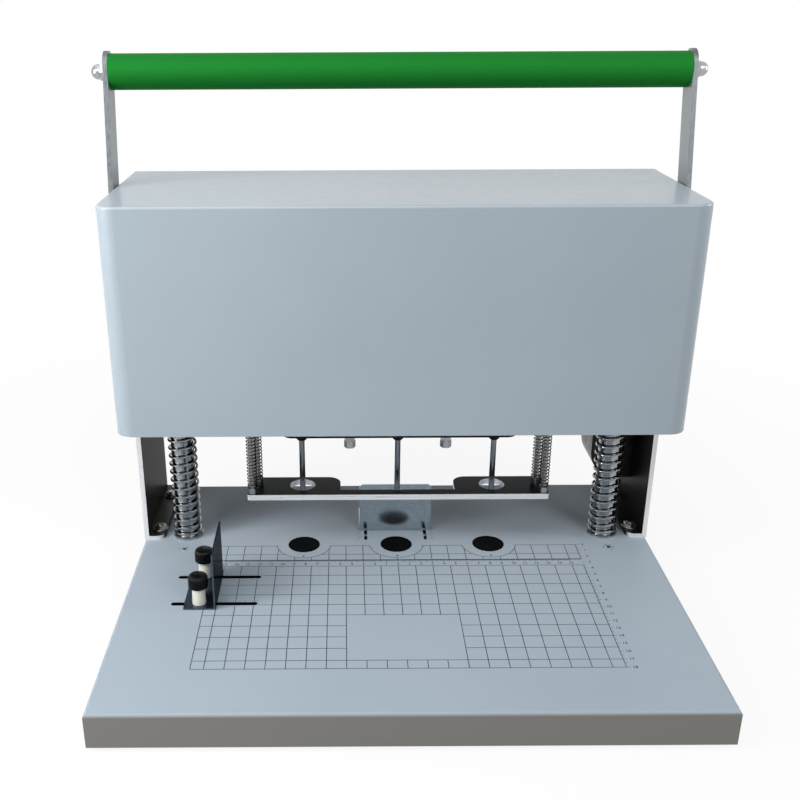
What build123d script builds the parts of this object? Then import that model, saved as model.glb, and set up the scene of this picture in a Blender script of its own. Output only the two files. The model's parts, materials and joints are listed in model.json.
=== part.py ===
from build123d import *
import math
import os

# Electric three-hole paper drill with a hand lever, in millimetres.
# X runs to the right, Y away from the user, Z up; the origin is under the middle of the base.

# Fits and clearances
RUNNING_FIT = 0.05
FREE_GAP = 0.3
BOLT_CLEARANCE = 0.2
OVERCUT = 1.0

# Sides of prisms that stand for round stock
SMOOTH_SIDES = 18
SEAT_SIDES = 12
ROD_SIDES = 8
HEAD_SIDES = 6
SCREW_SIDES = 6
WIRE_SIDES = 3
GAP_CHECK_STEPS = 24

# Base tray and its bottom
BASE_WIDTH = 454.0
BASE_DEPTH = 354.0
TABLE_Z = 32.0
TRAY_SHEET = 2.0
TRAY_SKIRT = 28.0
TRAY_EDGE_RADIUS = 3.0
TRAY_FLANGE = 14.0
BOTTOM_SHEET = 1.5
BOTTOM_INSET = 6.0
FOOT_RADIUS = 12.0
FOOT_INSET = 34.0

# Drilling line
DRILL_INSET = 120.0
DRILL_PITCH = 82.5
DRILL_RADIUS = 2.5
DRILL_BORE = 1.5
DRILL_EDGE = 2.0
DRILL_BEVEL = 1.2
STROKE = 53.5
PAD_RADIUS = 14.0
PAD_HEIGHT = 10.0
PAD_BAR_SHEET = 4.0
PAD_BAR_DEPTH = 44.0
PAD_BAR_OVERHANG = 22.0

# Guide columns and return springs
COLUMN_INSET = 38.0
COLUMN_SETBACK = 21.0
COLUMN_RADIUS = 10.0
COLUMN_TOP_RISE = 39.0
COLLAR_RADIUS = 13.5
COLLAR_HEIGHT = 2.0
BLOCK_WIDTH = 36.0
BLOCK_DEPTH = 72.0
BLOCK_HEIGHT = 16.0
BLOCK_SCREW_OFFSET = 28.0
BLOCK_SCREW_REACH = 14.0
RETURN_WIRE = 2.3
RETURN_COIL_RADIUS = 11.6
RETURN_TURNS = 7

# Side uprights
UPRIGHT_SHEET = 4.0
UPRIGHT_BACK_INSET = 6.0
UPRIGHT_DEPTH = 104.5
UPRIGHT_TOP_GAP = 3.5
UPRIGHT_FOOT = 18.0
UPRIGHT_FOOT_RADIUS = 8.0
UPRIGHT_BOLT_INSET = 12.0
FRONT_BOLT_INSET = 14.5
REAR_BOLT_INSET = 24.0
REAR_FLANGE = 22.0
REAR_FLANGE_RISE = 12.5
BOLT_RADIUS = 3.0
BOLT_HEAD_RADIUS = 5.77
BOLT_HEAD_HEIGHT = 4.0
WASHER_RADIUS = 7.0
WASHER_HEIGHT = 1.2

# Cover over the head
COVER_SPACER_LENGTH = 2.5
COVER_OVERHANG = 50.0
COVER_SKIRT_DROP = 8.5
COVER_RISE = 102.0
COVER_SHEET = 1.5
COVER_CORNER_RADIUS = 15.0
COVER_EDGE_RADIUS = 2.0
PANEL_SHEET = 1.5
LOUVRE_COUNT = 7
LOUVRE_PITCH = 12.0
LOUVRE_LENGTH = 120.0
LOUVRE_MIDDLE_X = 72.0
LOUVRE_HEIGHT = 4.0
COVER_SCREW_RADIUS = 2.0
COVER_SCREW_HEAD = 4.0
COVER_SCREW_HEIGHT = 1.8
COVER_SPACER_RADIUS = 5.5
COVER_SCREW_FRONT_INSET = 33.5
COVER_SCREW_BACK_INSET = 13.0
COVER_SCREW_RISE = 26.5
COVER_SCREW_DROP = 24.0
PANEL_SCREW_DROP = 20.0
BRACE_SHEET = 3.0
BRACE_SETBACK = 19.0
BRACE_DEPTH = 46.0
BRACE_HEIGHT = 18.0

# Carriage that slides on the columns
PLATE_RISE = 136.0
PLATE_THICKNESS = 10.0
PLATE_SIDE_GAP = 15.0
PLATE_FRONT = 27.0
PLATE_BACK = 55.0
PLATE_MOTOR_BACK = 93.0
PLATE_CORNER_RADIUS = 8.0
GEAR_PLATE_DROP = 19.0
GEAR_PLATE_THICKNESS = 5.0
GEAR_PLATE_OVERHANG = 14.5
GEAR_PLATE_FRONT = 30.0
GEAR_PLATE_BACK = 89.0
BUSH_RADIUS = 16.0
BUSH_FLANGE_RADIUS = 20.0
BUSH_FLANGE_HEIGHT = 6.0
BUSH_HEIGHT = 34.0
SPACER_RADIUS = 5.0
SPACER_PLACES = ((62.0, -24.0), (88.0, 47.0), (50.0, 80.0))

# Gear train from the motor to the three spindles
GEAR_FACE = 8.0
GEAR_RISE = 3.0
MOTOR_TEETH = 10
LAY_TEETH = 14
SPINDLE_TEETH = 16
IDLER_TEETH = 17
PRESSURE_ANGLE = math.radians(20)
TOOTH_BACKLASH = 0.06
DEDENDUM = 1.25
SPINDLE_RADIUS = 6.0
SPINDLE_TOP_REACH = 3.0
CHUCK_GAP = 0.5
BEARING_RADIUS = 9.0
BEARING_RISE = 1.5
AXLE_RADIUS = 3.2
IDLER_AXLE_DROP = 21.0
AXLE_HEAD_RADIUS = 4.9
AXLE_HEAD_HEIGHT = 6.0
AXLE_COLLAR_RADIUS = 4.5
CHUCK_RADIUS = 7.0
CHUCK_NOSE_RADIUS = 4.0
CHUCK_LENGTH = 13.5
CHUCK_CONE = 4.0
MOTOR_RADIUS = 26.0
MOTOR_HEIGHT = 66.0
MOTOR_SHAFT_RADIUS = 3.0
MOTOR_BOSS_RADIUS = 13.0
MOTOR_BOSS_HEIGHT = 5.0
MOTOR_BEVEL = 3.0
MOTOR_CAP_RADIUS = 14.0
MOTOR_CAP_HEIGHT = 3.0

# Paper clamp under the head
CLAMP_OVERHANG = 47.0
CLAMP_FRONT = 19.5
CLAMP_BACK = 15.5
CLAMP_STRIP_GAP = 10.0
CLAMP_ARM_INSET = 33.0
CLAMP_ARM_RADIUS = 11.0
CLAMP_HOLE_RADIUS = 11.0
DRILL_TIP_COVER = 0.7
CLAMP_THICKNESS = 5.0
CLAMP_CORNER_RADIUS = 2.0
ROD_RADIUS = 2.5
ROD_PLACES = ((4.5, -14.5), (8.0, 2.0))
ROD_NUT_RADIUS = 4.6
ROD_NUT_HEIGHT = 5.0
ROD_HEAD_RADIUS = 4.5
ROD_HEAD_HEIGHT = 3.0
CLAMP_WIRE = 1.0
CLAMP_COIL_RADIUS = 3.9
CLAMP_TURNS = 4

# Hand lever, cross shaft, pinions and racks
PIVOT_SETBACK = 24.0
PIVOT_RISE = 64.0
HANDLE_SETBACK = 37.5
HANDLE_RISE = 189.0
HANDLE_RADIUS = 14.0
HANDLE_WALL = 2.5
HANDLE_PLUG = 12.0
ARM_GAP = 1.0
ARM_THICKNESS = 4.0
ARM_WIDTH = 23.0
ARM_END_REACH = 16.0
TIE_RADIUS = 4.0
ACORN_RADIUS = 7.5
ACORN_HEX_HEIGHT = 5.0
ACORN_DOME_RADIUS = 6.0
ACORN_DOME_HEIGHT = 6.5
DOME_STEPS = ((0.0, 1.0), (0.45, 0.92), (0.8, 0.66), (1.0, 0.3))
SHAFT_RADIUS = 10.0
SHAFT_SPIGOT = 5.0
CAP_HEAD_RADIUS = 8.0
CAP_HEAD_HEIGHT = 4.5
CAP_STEM_RADIUS = 3.0
CAP_STEM_LENGTH = 14.0
PIVOT_BUSH_RADIUS = 14.0
PIVOT_BUSH_RISE = 2.5
COVER_SHAFT_HOLE = 13.0
RACK_MODULE = 4.0
RACK_PINION_TEETH = 17
RACK_FACE = 10.0
RACK_BACK = 9.0
RACK_TOP_MARGIN = 10.0
RACK_FOOT_HEIGHT = 8.0
RACK_FOOT_DEPTH = 30.0
RACK_FOOT_RIM = 2.0
RACK_SCREW_FIRST = 13.0
RACK_SCREW_PITCH = 13.0
HEAD_SCREW_RADIUS = 2.5
HEAD_SCREW_HEAD = 4.2
HEAD_SCREW_HEIGHT = 4.0

# Side gauge on the left
GAUGE_SHEET = 1.2
SIDE_GAUGE_OFFSET = 37.0
SIDE_GAUGE_AHEAD = 48.0
SIDE_GAUGE_LENGTH = 57.0
SIDE_GAUGE_HEIGHT = 50.0
SIDE_GAUGE_FOOT = 26.0
SIDE_SCREW_OFFSET = 23.0
SIDE_SCREW_FRONT_INSET = 9.0
SIDE_SCREW_BACK_INSET = 7.0
SIDE_SLOT_INSET = 40.0
SIDE_SLOT_LENGTH = 70.0
SIDE_SLOT_WIDTH = 4.6
STUD_RADIUS = 2.0
POST_RADIUS = 6.0
POST_TOP_RADIUS = 5.2
POST_HEIGHT = 15.0
KNOB_RADIUS = 8.5
KNOB_HEIGHT = 11.0
KNOB_SIDES = 12
KNOB_BEVEL = 1.5
T_NUT_LENGTH = 12.0
T_NUT_WIDTH = 9.0
T_NUT_HEIGHT = 5.0

# Back gauge
BACK_GAUGE_SETBACK = 25.0
BACK_GAUGE_WIDTH = 65.0
BACK_GAUGE_HEIGHT = 47.0
BACK_GAUGE_FOOT = 42.0
BACK_GAUGE_RADIUS = 4.0
BACK_SLOT_X = 27.0
BACK_SLOT_SETBACK = 8.0
BACK_SLOT_LENGTH = 85.0
BACK_SLOT_WIDTH = 2.8
BACK_STUD_RADIUS = 1.2
BACK_SCREW_OFFSET = 24.0
BACK_SCREW_HEAD = 4.0
BACK_SCREW_HEIGHT = 2.6

# Electrical box on the right upright
BOX_WIDTH = 38.0
BOX_BACK_INSET = 5.0
BOX_DEPTH = 42.0
BOX_DROP = 2.5
BOX_HEIGHT = 92.0
BOX_LOWER_RADIUS = 26.0
BOX_UPPER_RADIUS = 4.0
INLET_RISE = 36.0
INLET_WIDTH = 27.0
INLET_HEIGHT = 20.0
INLET_DEPTH = 18.0
INLET_FLANGE = 1.8
INLET_RIM = 2.5
INLET_RECESS_DEPTH = 16.0
INLET_PIN_LENGTH = 9.0
INLET_PIN_PITCH = 7.0
INLET_PIN_WIDTH = 2.0
INLET_PIN_HEIGHT = 4.0
INLET_PIN_SHIFT = 1.5
SWITCH_RISE = 67.0
SWITCH_WIDTH = 13.0
SWITCH_HEIGHT = 19.0
SWITCH_DEPTH = 9.0
SWITCH_RIM = 2.0
SWITCH_TILT = 7.0
ROCKER_PIVOT = 1.0
ROCKER_RADIUS = 8.5
ROCKER_ROOT = 4.7
ROCKER_DEPTH = 4.0
ROCKER_RISE = 1.6
ROCKER_DIP = 0.4

# Places across, worked out from the sizes above
half_base = BASE_WIDTH / 2
upright_outer_x = half_base
upright_inner_x = upright_outer_x - UPRIGHT_SHEET
cover_inner_x = upright_outer_x + COVER_SPACER_LENGTH
cover_outer_x = cover_inner_x + COVER_SHEET
arm_inner_x = cover_outer_x + ARM_GAP
arm_outer_x = arm_inner_x + ARM_THICKNESS
column_x = half_base - COLUMN_INSET
plate_half_length = upright_inner_x - PLATE_SIDE_GAP
gear_plate_half_length = DRILL_PITCH + GEAR_PLATE_OVERHANG
clamp_half_length = DRILL_PITCH + CLAMP_OVERHANG
clamp_arm_x = DRILL_PITCH - CLAMP_ARM_INSET
front_rod_x = clamp_half_length - ROD_PLACES[0][0]
rack_x = (front_rod_x + column_x - COLLAR_RADIUS) / 2
gear_module = DRILL_PITCH / (SPINDLE_TEETH + IDLER_TEETH)
idler_x = DRILL_PITCH / 2
side_slot_x0 = SIDE_SLOT_INSET - half_base
side_slot_x1 = side_slot_x0 + SIDE_SLOT_LENGTH
side_gauge_x = side_slot_x0 + SIDE_GAUGE_OFFSET
side_screw_x = side_slot_x0 + SIDE_SCREW_OFFSET
box_outer_x = upright_inner_x
box_inner_x = upright_inner_x - BOX_WIDTH
box_middle_x = (box_inner_x + box_outer_x) / 2

# Places from front to back
base_front_y = -BASE_DEPTH / 2
base_back_y = BASE_DEPTH / 2
drill_y = base_back_y - DRILL_INSET
column_y = drill_y + COLUMN_SETBACK
pivot_y = drill_y + PIVOT_SETBACK
handle_y = pivot_y + HANDLE_SETBACK
upright_back_y = base_back_y - UPRIGHT_BACK_INSET
upright_front_y = upright_back_y - UPRIGHT_DEPTH
upright_bolt_ys = (upright_front_y + FRONT_BOLT_INSET, upright_back_y - REAR_BOLT_INSET)
cover_front_y = drill_y - COVER_OVERHANG
cover_back_y = upright_back_y + PANEL_SHEET
brace_front_y = pivot_y + BRACE_SETBACK
plate_front_y = drill_y - PLATE_FRONT
plate_back_y = drill_y + PLATE_BACK
plate_motor_back_y = drill_y + PLATE_MOTOR_BACK
gear_plate_front_y = drill_y - GEAR_PLATE_FRONT
gear_plate_back_y = drill_y + GEAR_PLATE_BACK
lay_y = drill_y + gear_module * (SPINDLE_TEETH + LAY_TEETH) / 2
motor_y = lay_y + gear_module * (LAY_TEETH + MOTOR_TEETH) / 2
clamp_front_y = drill_y - CLAMP_FRONT
clamp_back_y = drill_y + CLAMP_BACK
clamp_strip_back_y = drill_y - CLAMP_STRIP_GAP
pinion_pitch_radius = RACK_MODULE * RACK_PINION_TEETH / 2
rack_pitch_y = pivot_y - pinion_pitch_radius
side_gauge_back_y = drill_y - SIDE_GAUGE_AHEAD
side_gauge_front_y = side_gauge_back_y - SIDE_GAUGE_LENGTH
side_screw_ys = (side_gauge_front_y + SIDE_SCREW_FRONT_INSET, side_gauge_back_y - SIDE_SCREW_BACK_INSET)
back_gauge_y = drill_y + BACK_GAUGE_SETBACK
back_slot_y0 = drill_y + BACK_SLOT_SETBACK
back_slot_y1 = back_slot_y0 + BACK_SLOT_LENGTH
box_back_y = upright_back_y - BOX_BACK_INSET
box_front_y = box_back_y - BOX_DEPTH

# Heights
tray_inside_z = TABLE_Z - TRAY_SHEET
tray_bottom_z = TABLE_Z - TRAY_SKIRT
bottom_plate_z = tray_bottom_z - BOTTOM_SHEET
column_base_z = tray_inside_z - BLOCK_HEIGHT
collar_top_z = TABLE_Z + COLLAR_HEIGHT
carriage_z = TABLE_Z + PLATE_RISE
plate_top_z = carriage_z + PLATE_THICKNESS
column_top_z = plate_top_z + COLUMN_TOP_RISE
bush_bottom_z = carriage_z - BUSH_FLANGE_HEIGHT
gear_plate_z = carriage_z - GEAR_PLATE_DROP
gear_plate_top_z = gear_plate_z + GEAR_PLATE_THICKNESS
gear_z = gear_plate_top_z + GEAR_RISE
gear_top_z = gear_z + GEAR_FACE
idler_axle_bottom_z = gear_plate_z - IDLER_AXLE_DROP
chuck_top_z = gear_plate_z - CHUCK_GAP
chuck_bottom_z = chuck_top_z - CHUCK_LENGTH
drill_tip_z = TABLE_Z + STROKE + FREE_GAP
clamp_bottom_z = drill_tip_z + DRILL_TIP_COVER
clamp_top_z = clamp_bottom_z + CLAMP_THICKNESS
clamp_seat_z = clamp_top_z + ROD_NUT_HEIGHT
pivot_z = plate_top_z + PIVOT_RISE
handle_z = pivot_z + HANDLE_RISE
cover_bottom_z = carriage_z - COVER_SKIRT_DROP
cover_top_z = pivot_z + COVER_RISE
upright_top_z = cover_top_z - COVER_SHEET - UPRIGHT_TOP_GAP
rear_flange_bottom_z = cover_bottom_z + REAR_FLANGE_RISE
cover_screw_z = cover_bottom_z + COVER_SCREW_RISE
panel_screw_top_z = cover_top_z - PANEL_SCREW_DROP
panel_screw_zs = (cover_screw_z, (cover_screw_z + panel_screw_top_z) / 2, panel_screw_top_z)
cover_screw_back_y = upright_back_y - COVER_SCREW_BACK_INSET
cover_screw_places = (
    (upright_front_y + COVER_SCREW_FRONT_INSET, cover_screw_z),
    (cover_screw_back_y, cover_screw_z),
    (cover_screw_back_y, cover_top_z - COVER_SCREW_DROP),
)
screw_neck_z = TABLE_Z - (HEAD_SCREW_HEAD - HEAD_SCREW_RADIUS)
upright_nut_z = tray_inside_z - BOLT_HEAD_HEIGHT
gauge_foot_z = TABLE_Z + FREE_GAP
gauge_foot_top_z = gauge_foot_z + GAUGE_SHEET
slide_nut_z = tray_inside_z - FREE_GAP - T_NUT_HEIGHT
box_top_z = cover_bottom_z - BOX_DROP
box_bottom_z = box_top_z - BOX_HEIGHT
inlet_z = box_bottom_z + INLET_RISE
switch_z = box_bottom_z + SWITCH_RISE

# Lean and length of the lever's arms
arm_lean = math.atan2(HANDLE_SETBACK, HANDLE_RISE)
arm_length = math.hypot(HANDLE_SETBACK, HANDLE_RISE)


# Plain shapes
def block(x0, x1, y0, y1, z0, z1):
    return Pos((x0 + x1) / 2, (y0 + y1) / 2, (z0 + z1) / 2) * Box(x1 - x0, y1 - y0, z1 - z0)


def rod_z(x, y, z0, z1, radius):
    return Pos(x, y, (z0 + z1) / 2) * Cylinder(radius, z1 - z0)


def rod_x(x0, x1, y, z, radius):
    return Pos((x0 + x1) / 2, y, z) * Rot(0, 90, 0) * Cylinder(radius, x1 - x0)


def corners_on(radius, sides):
    return RegularPolygon(radius, sides)


def flats_on(radius, sides):
    return RegularPolygon(radius, sides, major_radius=False)


def prism_z(x, y, z0, z1, outline):
    return Pos(x, y, z0) * extrude(outline, z1 - z0)


def prism_x(x0, x1, y, z, outline):
    return Pos(x0, y, z) * Rot(0, 90, 0) * extrude(outline, x1 - x0)


def prism_y(x, y0, y1, z, outline):
    return Pos(x, y0, z) * Rot(-90, 0, 0) * extrude(outline, y1 - y0)


def hole_z(x, y, z0, z1, radius, sides):
    """Cut through a plate between these heights, clear of round stock of this radius."""
    return prism_z(x, y, z0 - OVERCUT, z1 + OVERCUT, flats_on(radius, sides))


def round_hole_z(x, y, z0, z1, radius):
    return rod_z(x, y, z0 - OVERCUT, z1 + OVERCUT, radius)


def hole_x(x0, x1, y, z, radius, sides):
    return prism_x(x0 - OVERCUT, x1 + OVERCUT, y, z, flats_on(radius, sides))


def hole_y(x, y0, y1, z, radius, sides):
    return prism_y(x, y0 - OVERCUT, y1 + OVERCUT, z, flats_on(radius, sides))


def tapered_z(x, y, z0, z1, bottom_radius, top_radius, sides):
    """Upright prism whose corners run from one radius at the bottom to another at the top."""
    inward = (bottom_radius - top_radius) * math.cos(math.pi / sides)
    taper = math.degrees(math.atan2(inward, z1 - z0))
    return Pos(x, y, z0) * extrude(corners_on(bottom_radius, sides), z1 - z0, taper=taper)


def slot_z(x, y, length, width, z0, z1, along_y):
    """Slot cut with bevelled ends."""
    middle = Pos(x, y, z0 - OVERCUT) * Rot(0, 0, 90 if along_y else 0)
    outline = Rectangle(length, width)
    outline = chamfer(outline.vertices(), width * (1 - math.sqrt(0.5)))
    return middle * extrude(outline, z1 - z0 + 2 * OVERCUT)


def plate_z(x0, x1, y0, y1, z0, z1, radius):
    middle = Pos((x0 + x1) / 2, (y0 + y1) / 2, z0)
    return middle * extrude(RectangleRounded(x1 - x0, y1 - y0, radius), z1 - z0)


def screw_up(stem_radius, stem_length, head_radius, head_height):
    """Screw along Z, with the seat of its head at Z = 0."""
    stem = prism_z(0, 0, -stem_length, 0, corners_on(stem_radius, SCREW_SIDES))
    return stem + prism_z(0, 0, 0, head_height, corners_on(head_radius, HEAD_SIDES))


def both_sides(make):
    return [make(-1), make(1)]


def save(name, *solids):
    pieces = [solid for item in solids for solid in item.solids()]
    shape = pieces[0] if len(pieces) == 1 else Compound(children=pieces)
    export_step(shape, os.path.join("parts", name + ".step"))


# Gears
def involute(angle):
    return math.tan(angle) - angle


def gear_outline(teeth, module, phase):
    pitch_radius = module * teeth / 2
    tip_radius = pitch_radius + module
    root_radius = pitch_radius - DEDENDUM * module
    half_tooth = math.pi / (2 * teeth) * (1 - TOOTH_BACKLASH) + involute(PRESSURE_ANGLE)
    base_radius = pitch_radius * math.cos(PRESSURE_ANGLE)
    tip_half = half_tooth - involute(math.acos(base_radius / tip_radius))
    flank_start = max(root_radius, base_radius)
    root_half = half_tooth - involute(math.acos(base_radius / flank_start))
    points = []
    for tooth in range(teeth):
        centre = phase + 2 * math.pi * tooth / teeth
        for radius, offset in (
            (root_radius, -root_half),
            (tip_radius, -tip_half),
            (tip_radius, tip_half),
            (root_radius, root_half),
        ):
            angle = centre + offset
            points.append((radius * math.cos(angle), radius * math.sin(angle)))
    return make_face(Polyline(*points, close=True))


def meshing_phase(phase, teeth, other_teeth, direction):
    """Phase of the other gear, which lies in this direction, so that its gap takes a tooth of the first."""
    pitch = 2 * math.pi / teeth
    other_pitch = 2 * math.pi / other_teeth
    share = ((direction - phase) / pitch) % 1
    return direction + math.pi - other_pitch * (0.5 - share)


def spur_gear(x, y, teeth, phase):
    return Pos(x, y, gear_z) * extrude(gear_outline(teeth, gear_module, phase), GEAR_FACE)


def idle_gear(x, y, teeth, phase):
    return spur_gear(x, y, teeth, phase) - round_hole_z(x, y, gear_z, gear_top_z, AXLE_RADIUS + RUNNING_FIT)


# Springs
def coil_point(radius, pitch, angle):
    return Vector(radius * math.cos(angle), radius * math.sin(angle), pitch * angle / (2 * math.pi))


def coil_tangent(radius, pitch, angle):
    rise = pitch / (2 * math.pi)
    return Vector(-radius * math.sin(angle), radius * math.cos(angle), rise).normalized()


def coil_path(radius, pitch, turns):
    """Half turns of a helix, each as two arcs that meet halfway."""
    arcs = []
    for half in range(2 * turns):
        start = coil_point(radius, pitch, math.pi * half)
        end = coil_point(radius, pitch, math.pi * (half + 1))
        start_way = coil_tangent(radius, pitch, math.pi * half)
        end_way = coil_tangent(radius, pitch, math.pi * (half + 1))
        chord = end - start
        spread = 2 * (1 - start_way.dot(end_way))
        along = chord.dot(start_way + end_way)
        reach = (math.sqrt(along**2 + spread * chord.dot(chord)) - along) / spread
        joint = (start + start_way * reach + end - end_way * reach) * 0.5
        first = Edge.make_tangent_arc(start, start_way, joint)
        arcs.append(first)
        arcs.append(Edge.make_tangent_arc(joint, first.tangent_at(1), end))
    return Wire(arcs)


def least_self_gap(radius, pitch, turns, wire):
    """Least distance between neighbouring turns of the wire, measured on points."""
    steps = GAP_CHECK_STEPS
    line = [coil_point(radius, pitch, 2 * math.pi * step / steps) for step in range(steps * turns + 1)]
    least = min((line[i] - line[i + steps]).length for i in range(len(line) - steps))
    return least - wire


def coil_spring(name, radius, wire, z0, z1, turns):
    pitch = (z1 - z0 - wire) / turns
    path = coil_path(radius, pitch, turns)
    start = Plane(origin=path.position_at(0), z_dir=path.tangent_at(0), x_dir=(1, 0, 0))
    section = start * corners_on(wire / 2, WIRE_SIDES)
    print(name, "least gap between turns", round(least_self_gap(radius, pitch, turns, wire), 2))
    return Pos(0, 0, z0 + wire / 2) * sweep(section, path=path, clean=False)


# Base
def screw_places():
    offsets = (-BLOCK_SCREW_OFFSET, BLOCK_SCREW_OFFSET)
    return [(side * column_x, column_y + offset) for side in (-1, 1) for offset in offsets]


def bolt_places():
    bolt_x = half_base - UPRIGHT_BOLT_INSET
    return [(side * bolt_x, y) for side in (-1, 1) for y in upright_bolt_ys]


def base_tray():
    inside_x = half_base - TRAY_SHEET
    inside_y = base_back_y - TRAY_SHEET
    tray = block(-half_base, half_base, base_front_y, base_back_y, tray_bottom_z, TABLE_Z)
    tray = fillet(tray.faces().sort_by(Axis.Z)[-1].edges(), TRAY_EDGE_RADIUS)
    tray -= block(-inside_x, inside_x, -inside_y, inside_y, tray_bottom_z + TRAY_SHEET, tray_inside_z)
    flange_x = inside_x - TRAY_FLANGE
    flange_y = inside_y - TRAY_FLANGE
    tray -= block(-flange_x, flange_x, -flange_y, flange_y, tray_bottom_z - OVERCUT, tray_inside_z)
    for side in (-1, 1):
        seat = COLUMN_RADIUS + RUNNING_FIT
        tray -= hole_z(side * column_x, column_y, tray_inside_z, TABLE_Z, seat, SEAT_SIDES)
        slot_x = side * BACK_SLOT_X
        slot_y = (back_slot_y0 + back_slot_y1) / 2
        tray -= slot_z(slot_x, slot_y, BACK_SLOT_LENGTH, BACK_SLOT_WIDTH, tray_inside_z, TABLE_Z, True)
    for x, y in screw_places():
        tray -= countersink(x, y)
    for x, y in bolt_places():
        tray -= hole_z(x, y, tray_inside_z, TABLE_Z, BOLT_RADIUS + BOLT_CLEARANCE, SCREW_SIDES)
    for place in (-1, 0, 1):
        seat = PAD_RADIUS + RUNNING_FIT
        tray -= hole_z(place * DRILL_PITCH, drill_y, tray_inside_z, TABLE_Z, seat, SMOOTH_SIDES)
    for y in side_screw_ys:
        slot_x = (side_slot_x0 + side_slot_x1) / 2
        tray -= slot_z(slot_x, y, SIDE_SLOT_LENGTH, SIDE_SLOT_WIDTH, tray_inside_z, TABLE_Z, False)
    return tray


def countersink(x, y):
    widen = 1 / math.cos(math.pi / HEAD_SIDES)
    neck = (HEAD_SCREW_RADIUS + RUNNING_FIT) * widen
    top = (HEAD_SCREW_HEAD + RUNNING_FIT) * widen
    cone = tapered_z(x, y, screw_neck_z, TABLE_Z, neck, top, HEAD_SIDES)
    stem_radius = HEAD_SCREW_RADIUS + RUNNING_FIT
    return cone + prism_z(x, y, tray_inside_z - OVERCUT, screw_neck_z, flats_on(stem_radius, HEAD_SIDES))


def table_screw(x, y):
    head = tapered_z(x, y, screw_neck_z, TABLE_Z, HEAD_SCREW_RADIUS, HEAD_SCREW_HEAD, HEAD_SIDES)
    bottom_z = tray_inside_z - BLOCK_SCREW_REACH
    return head + prism_z(x, y, bottom_z, screw_neck_z, corners_on(HEAD_SCREW_RADIUS, HEAD_SIDES))


def bottom_plate():
    half_x = half_base - BOTTOM_INSET
    half_y = base_back_y - BOTTOM_INSET
    return block(-half_x, half_x, -half_y, half_y, bottom_plate_z, tray_bottom_z)


def rubber_feet():
    foot_x = half_base - FOOT_INSET
    foot_y = base_back_y - FOOT_INSET
    outline = corners_on(FOOT_RADIUS, SEAT_SIDES)
    return [prism_z(x * foot_x, y * foot_y, 0, bottom_plate_z, outline) for x in (-1, 1) for y in (-1, 1)]


def column_block(side):
    x = side * column_x
    y0 = column_y - BLOCK_DEPTH / 2
    x0 = x - BLOCK_WIDTH / 2
    solid = block(x0, x0 + BLOCK_WIDTH, y0, y0 + BLOCK_DEPTH, column_base_z, tray_inside_z)
    solid -= hole_z(x, column_y, column_base_z, tray_inside_z, COLUMN_RADIUS + RUNNING_FIT, SEAT_SIDES)
    for offset in (-BLOCK_SCREW_OFFSET, BLOCK_SCREW_OFFSET):
        y = column_y + offset
        solid -= hole_z(x, y, column_base_z, tray_inside_z, HEAD_SCREW_RADIUS + RUNNING_FIT, HEAD_SIDES)
    return solid


def guide_column(side):
    return rod_z(side * column_x, column_y, column_base_z, column_top_z, COLUMN_RADIUS)


def column_collar(side):
    x = side * column_x
    collar = prism_z(x, column_y, TABLE_Z, collar_top_z, corners_on(COLLAR_RADIUS, SMOOTH_SIDES))
    return collar - hole_z(x, column_y, TABLE_Z, collar_top_z, COLUMN_RADIUS + RUNNING_FIT, SEAT_SIDES)


def return_springs():
    z0 = collar_top_z + FREE_GAP
    z1 = bush_bottom_z - FREE_GAP
    spring = coil_spring("return spring", RETURN_COIL_RADIUS, RETURN_WIRE, z0, z1, RETURN_TURNS)
    return [Pos(side * column_x, column_y, 0) * spring for side in (-1, 1)]


def pad_bar():
    half_x = DRILL_PITCH + PAD_BAR_OVERHANG
    y0 = drill_y - PAD_BAR_DEPTH / 2
    y1 = drill_y + PAD_BAR_DEPTH / 2
    floor_z = TABLE_Z - PAD_HEIGHT
    bar = block(-half_x, half_x, y0, y1, floor_z - PAD_BAR_SHEET, tray_inside_z)
    inside_x = half_x + OVERCUT
    return bar - block(-inside_x, inside_x, y0 + PAD_BAR_SHEET, y1 - PAD_BAR_SHEET, floor_z, TABLE_Z)


def cutting_pad(place):
    outline = corners_on(PAD_RADIUS, SMOOTH_SIDES)
    return prism_z(place * DRILL_PITCH, drill_y, TABLE_Z - PAD_HEIGHT, TABLE_Z, outline)


# Uprights
def upright(side):
    outer = side * upright_outer_x
    inner = side * upright_inner_x
    x0, x1 = sorted((inner, outer))
    f0, f1 = sorted((side * (upright_outer_x - UPRIGHT_FOOT), inner))
    r0, r1 = sorted((side * (upright_outer_x - REAR_FLANGE), inner))
    foot_top_z = TABLE_Z + UPRIGHT_SHEET
    flange_y = upright_back_y - UPRIGHT_SHEET
    plate = block(x0, x1, upright_front_y, upright_back_y, TABLE_Z, upright_top_z)
    shoe = block(f0, f1, upright_front_y, upright_back_y, TABLE_Z, foot_top_z)
    free_edges = shoe.edges().filter_by(Axis.Z).sort_by(Axis.X)
    shoe = fillet(free_edges[:2] if side > 0 else free_edges[-2:], UPRIGHT_FOOT_RADIUS)
    rear = block(r0, r1, flange_y, upright_back_y, rear_flange_bottom_z, upright_top_z)
    solid = plate + shoe + rear
    solid -= hole_x(x0, x1, pivot_y, pivot_z, PIVOT_BUSH_RADIUS + RUNNING_FIT, SMOOTH_SIDES)
    for x, y in bolt_places():
        solid -= hole_z(x, y, TABLE_Z, foot_top_z, BOLT_RADIUS + BOLT_CLEARANCE, SCREW_SIDES)
    for y, z in cover_screw_places:
        solid -= hole_x(x0, x1, y, z, COVER_SCREW_RADIUS + RUNNING_FIT, SCREW_SIDES)
    for x, z in panel_screw_places():
        solid -= hole_y(x, flange_y, upright_back_y, z, COVER_SCREW_RADIUS + RUNNING_FIT, SCREW_SIDES)
    return solid


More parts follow.
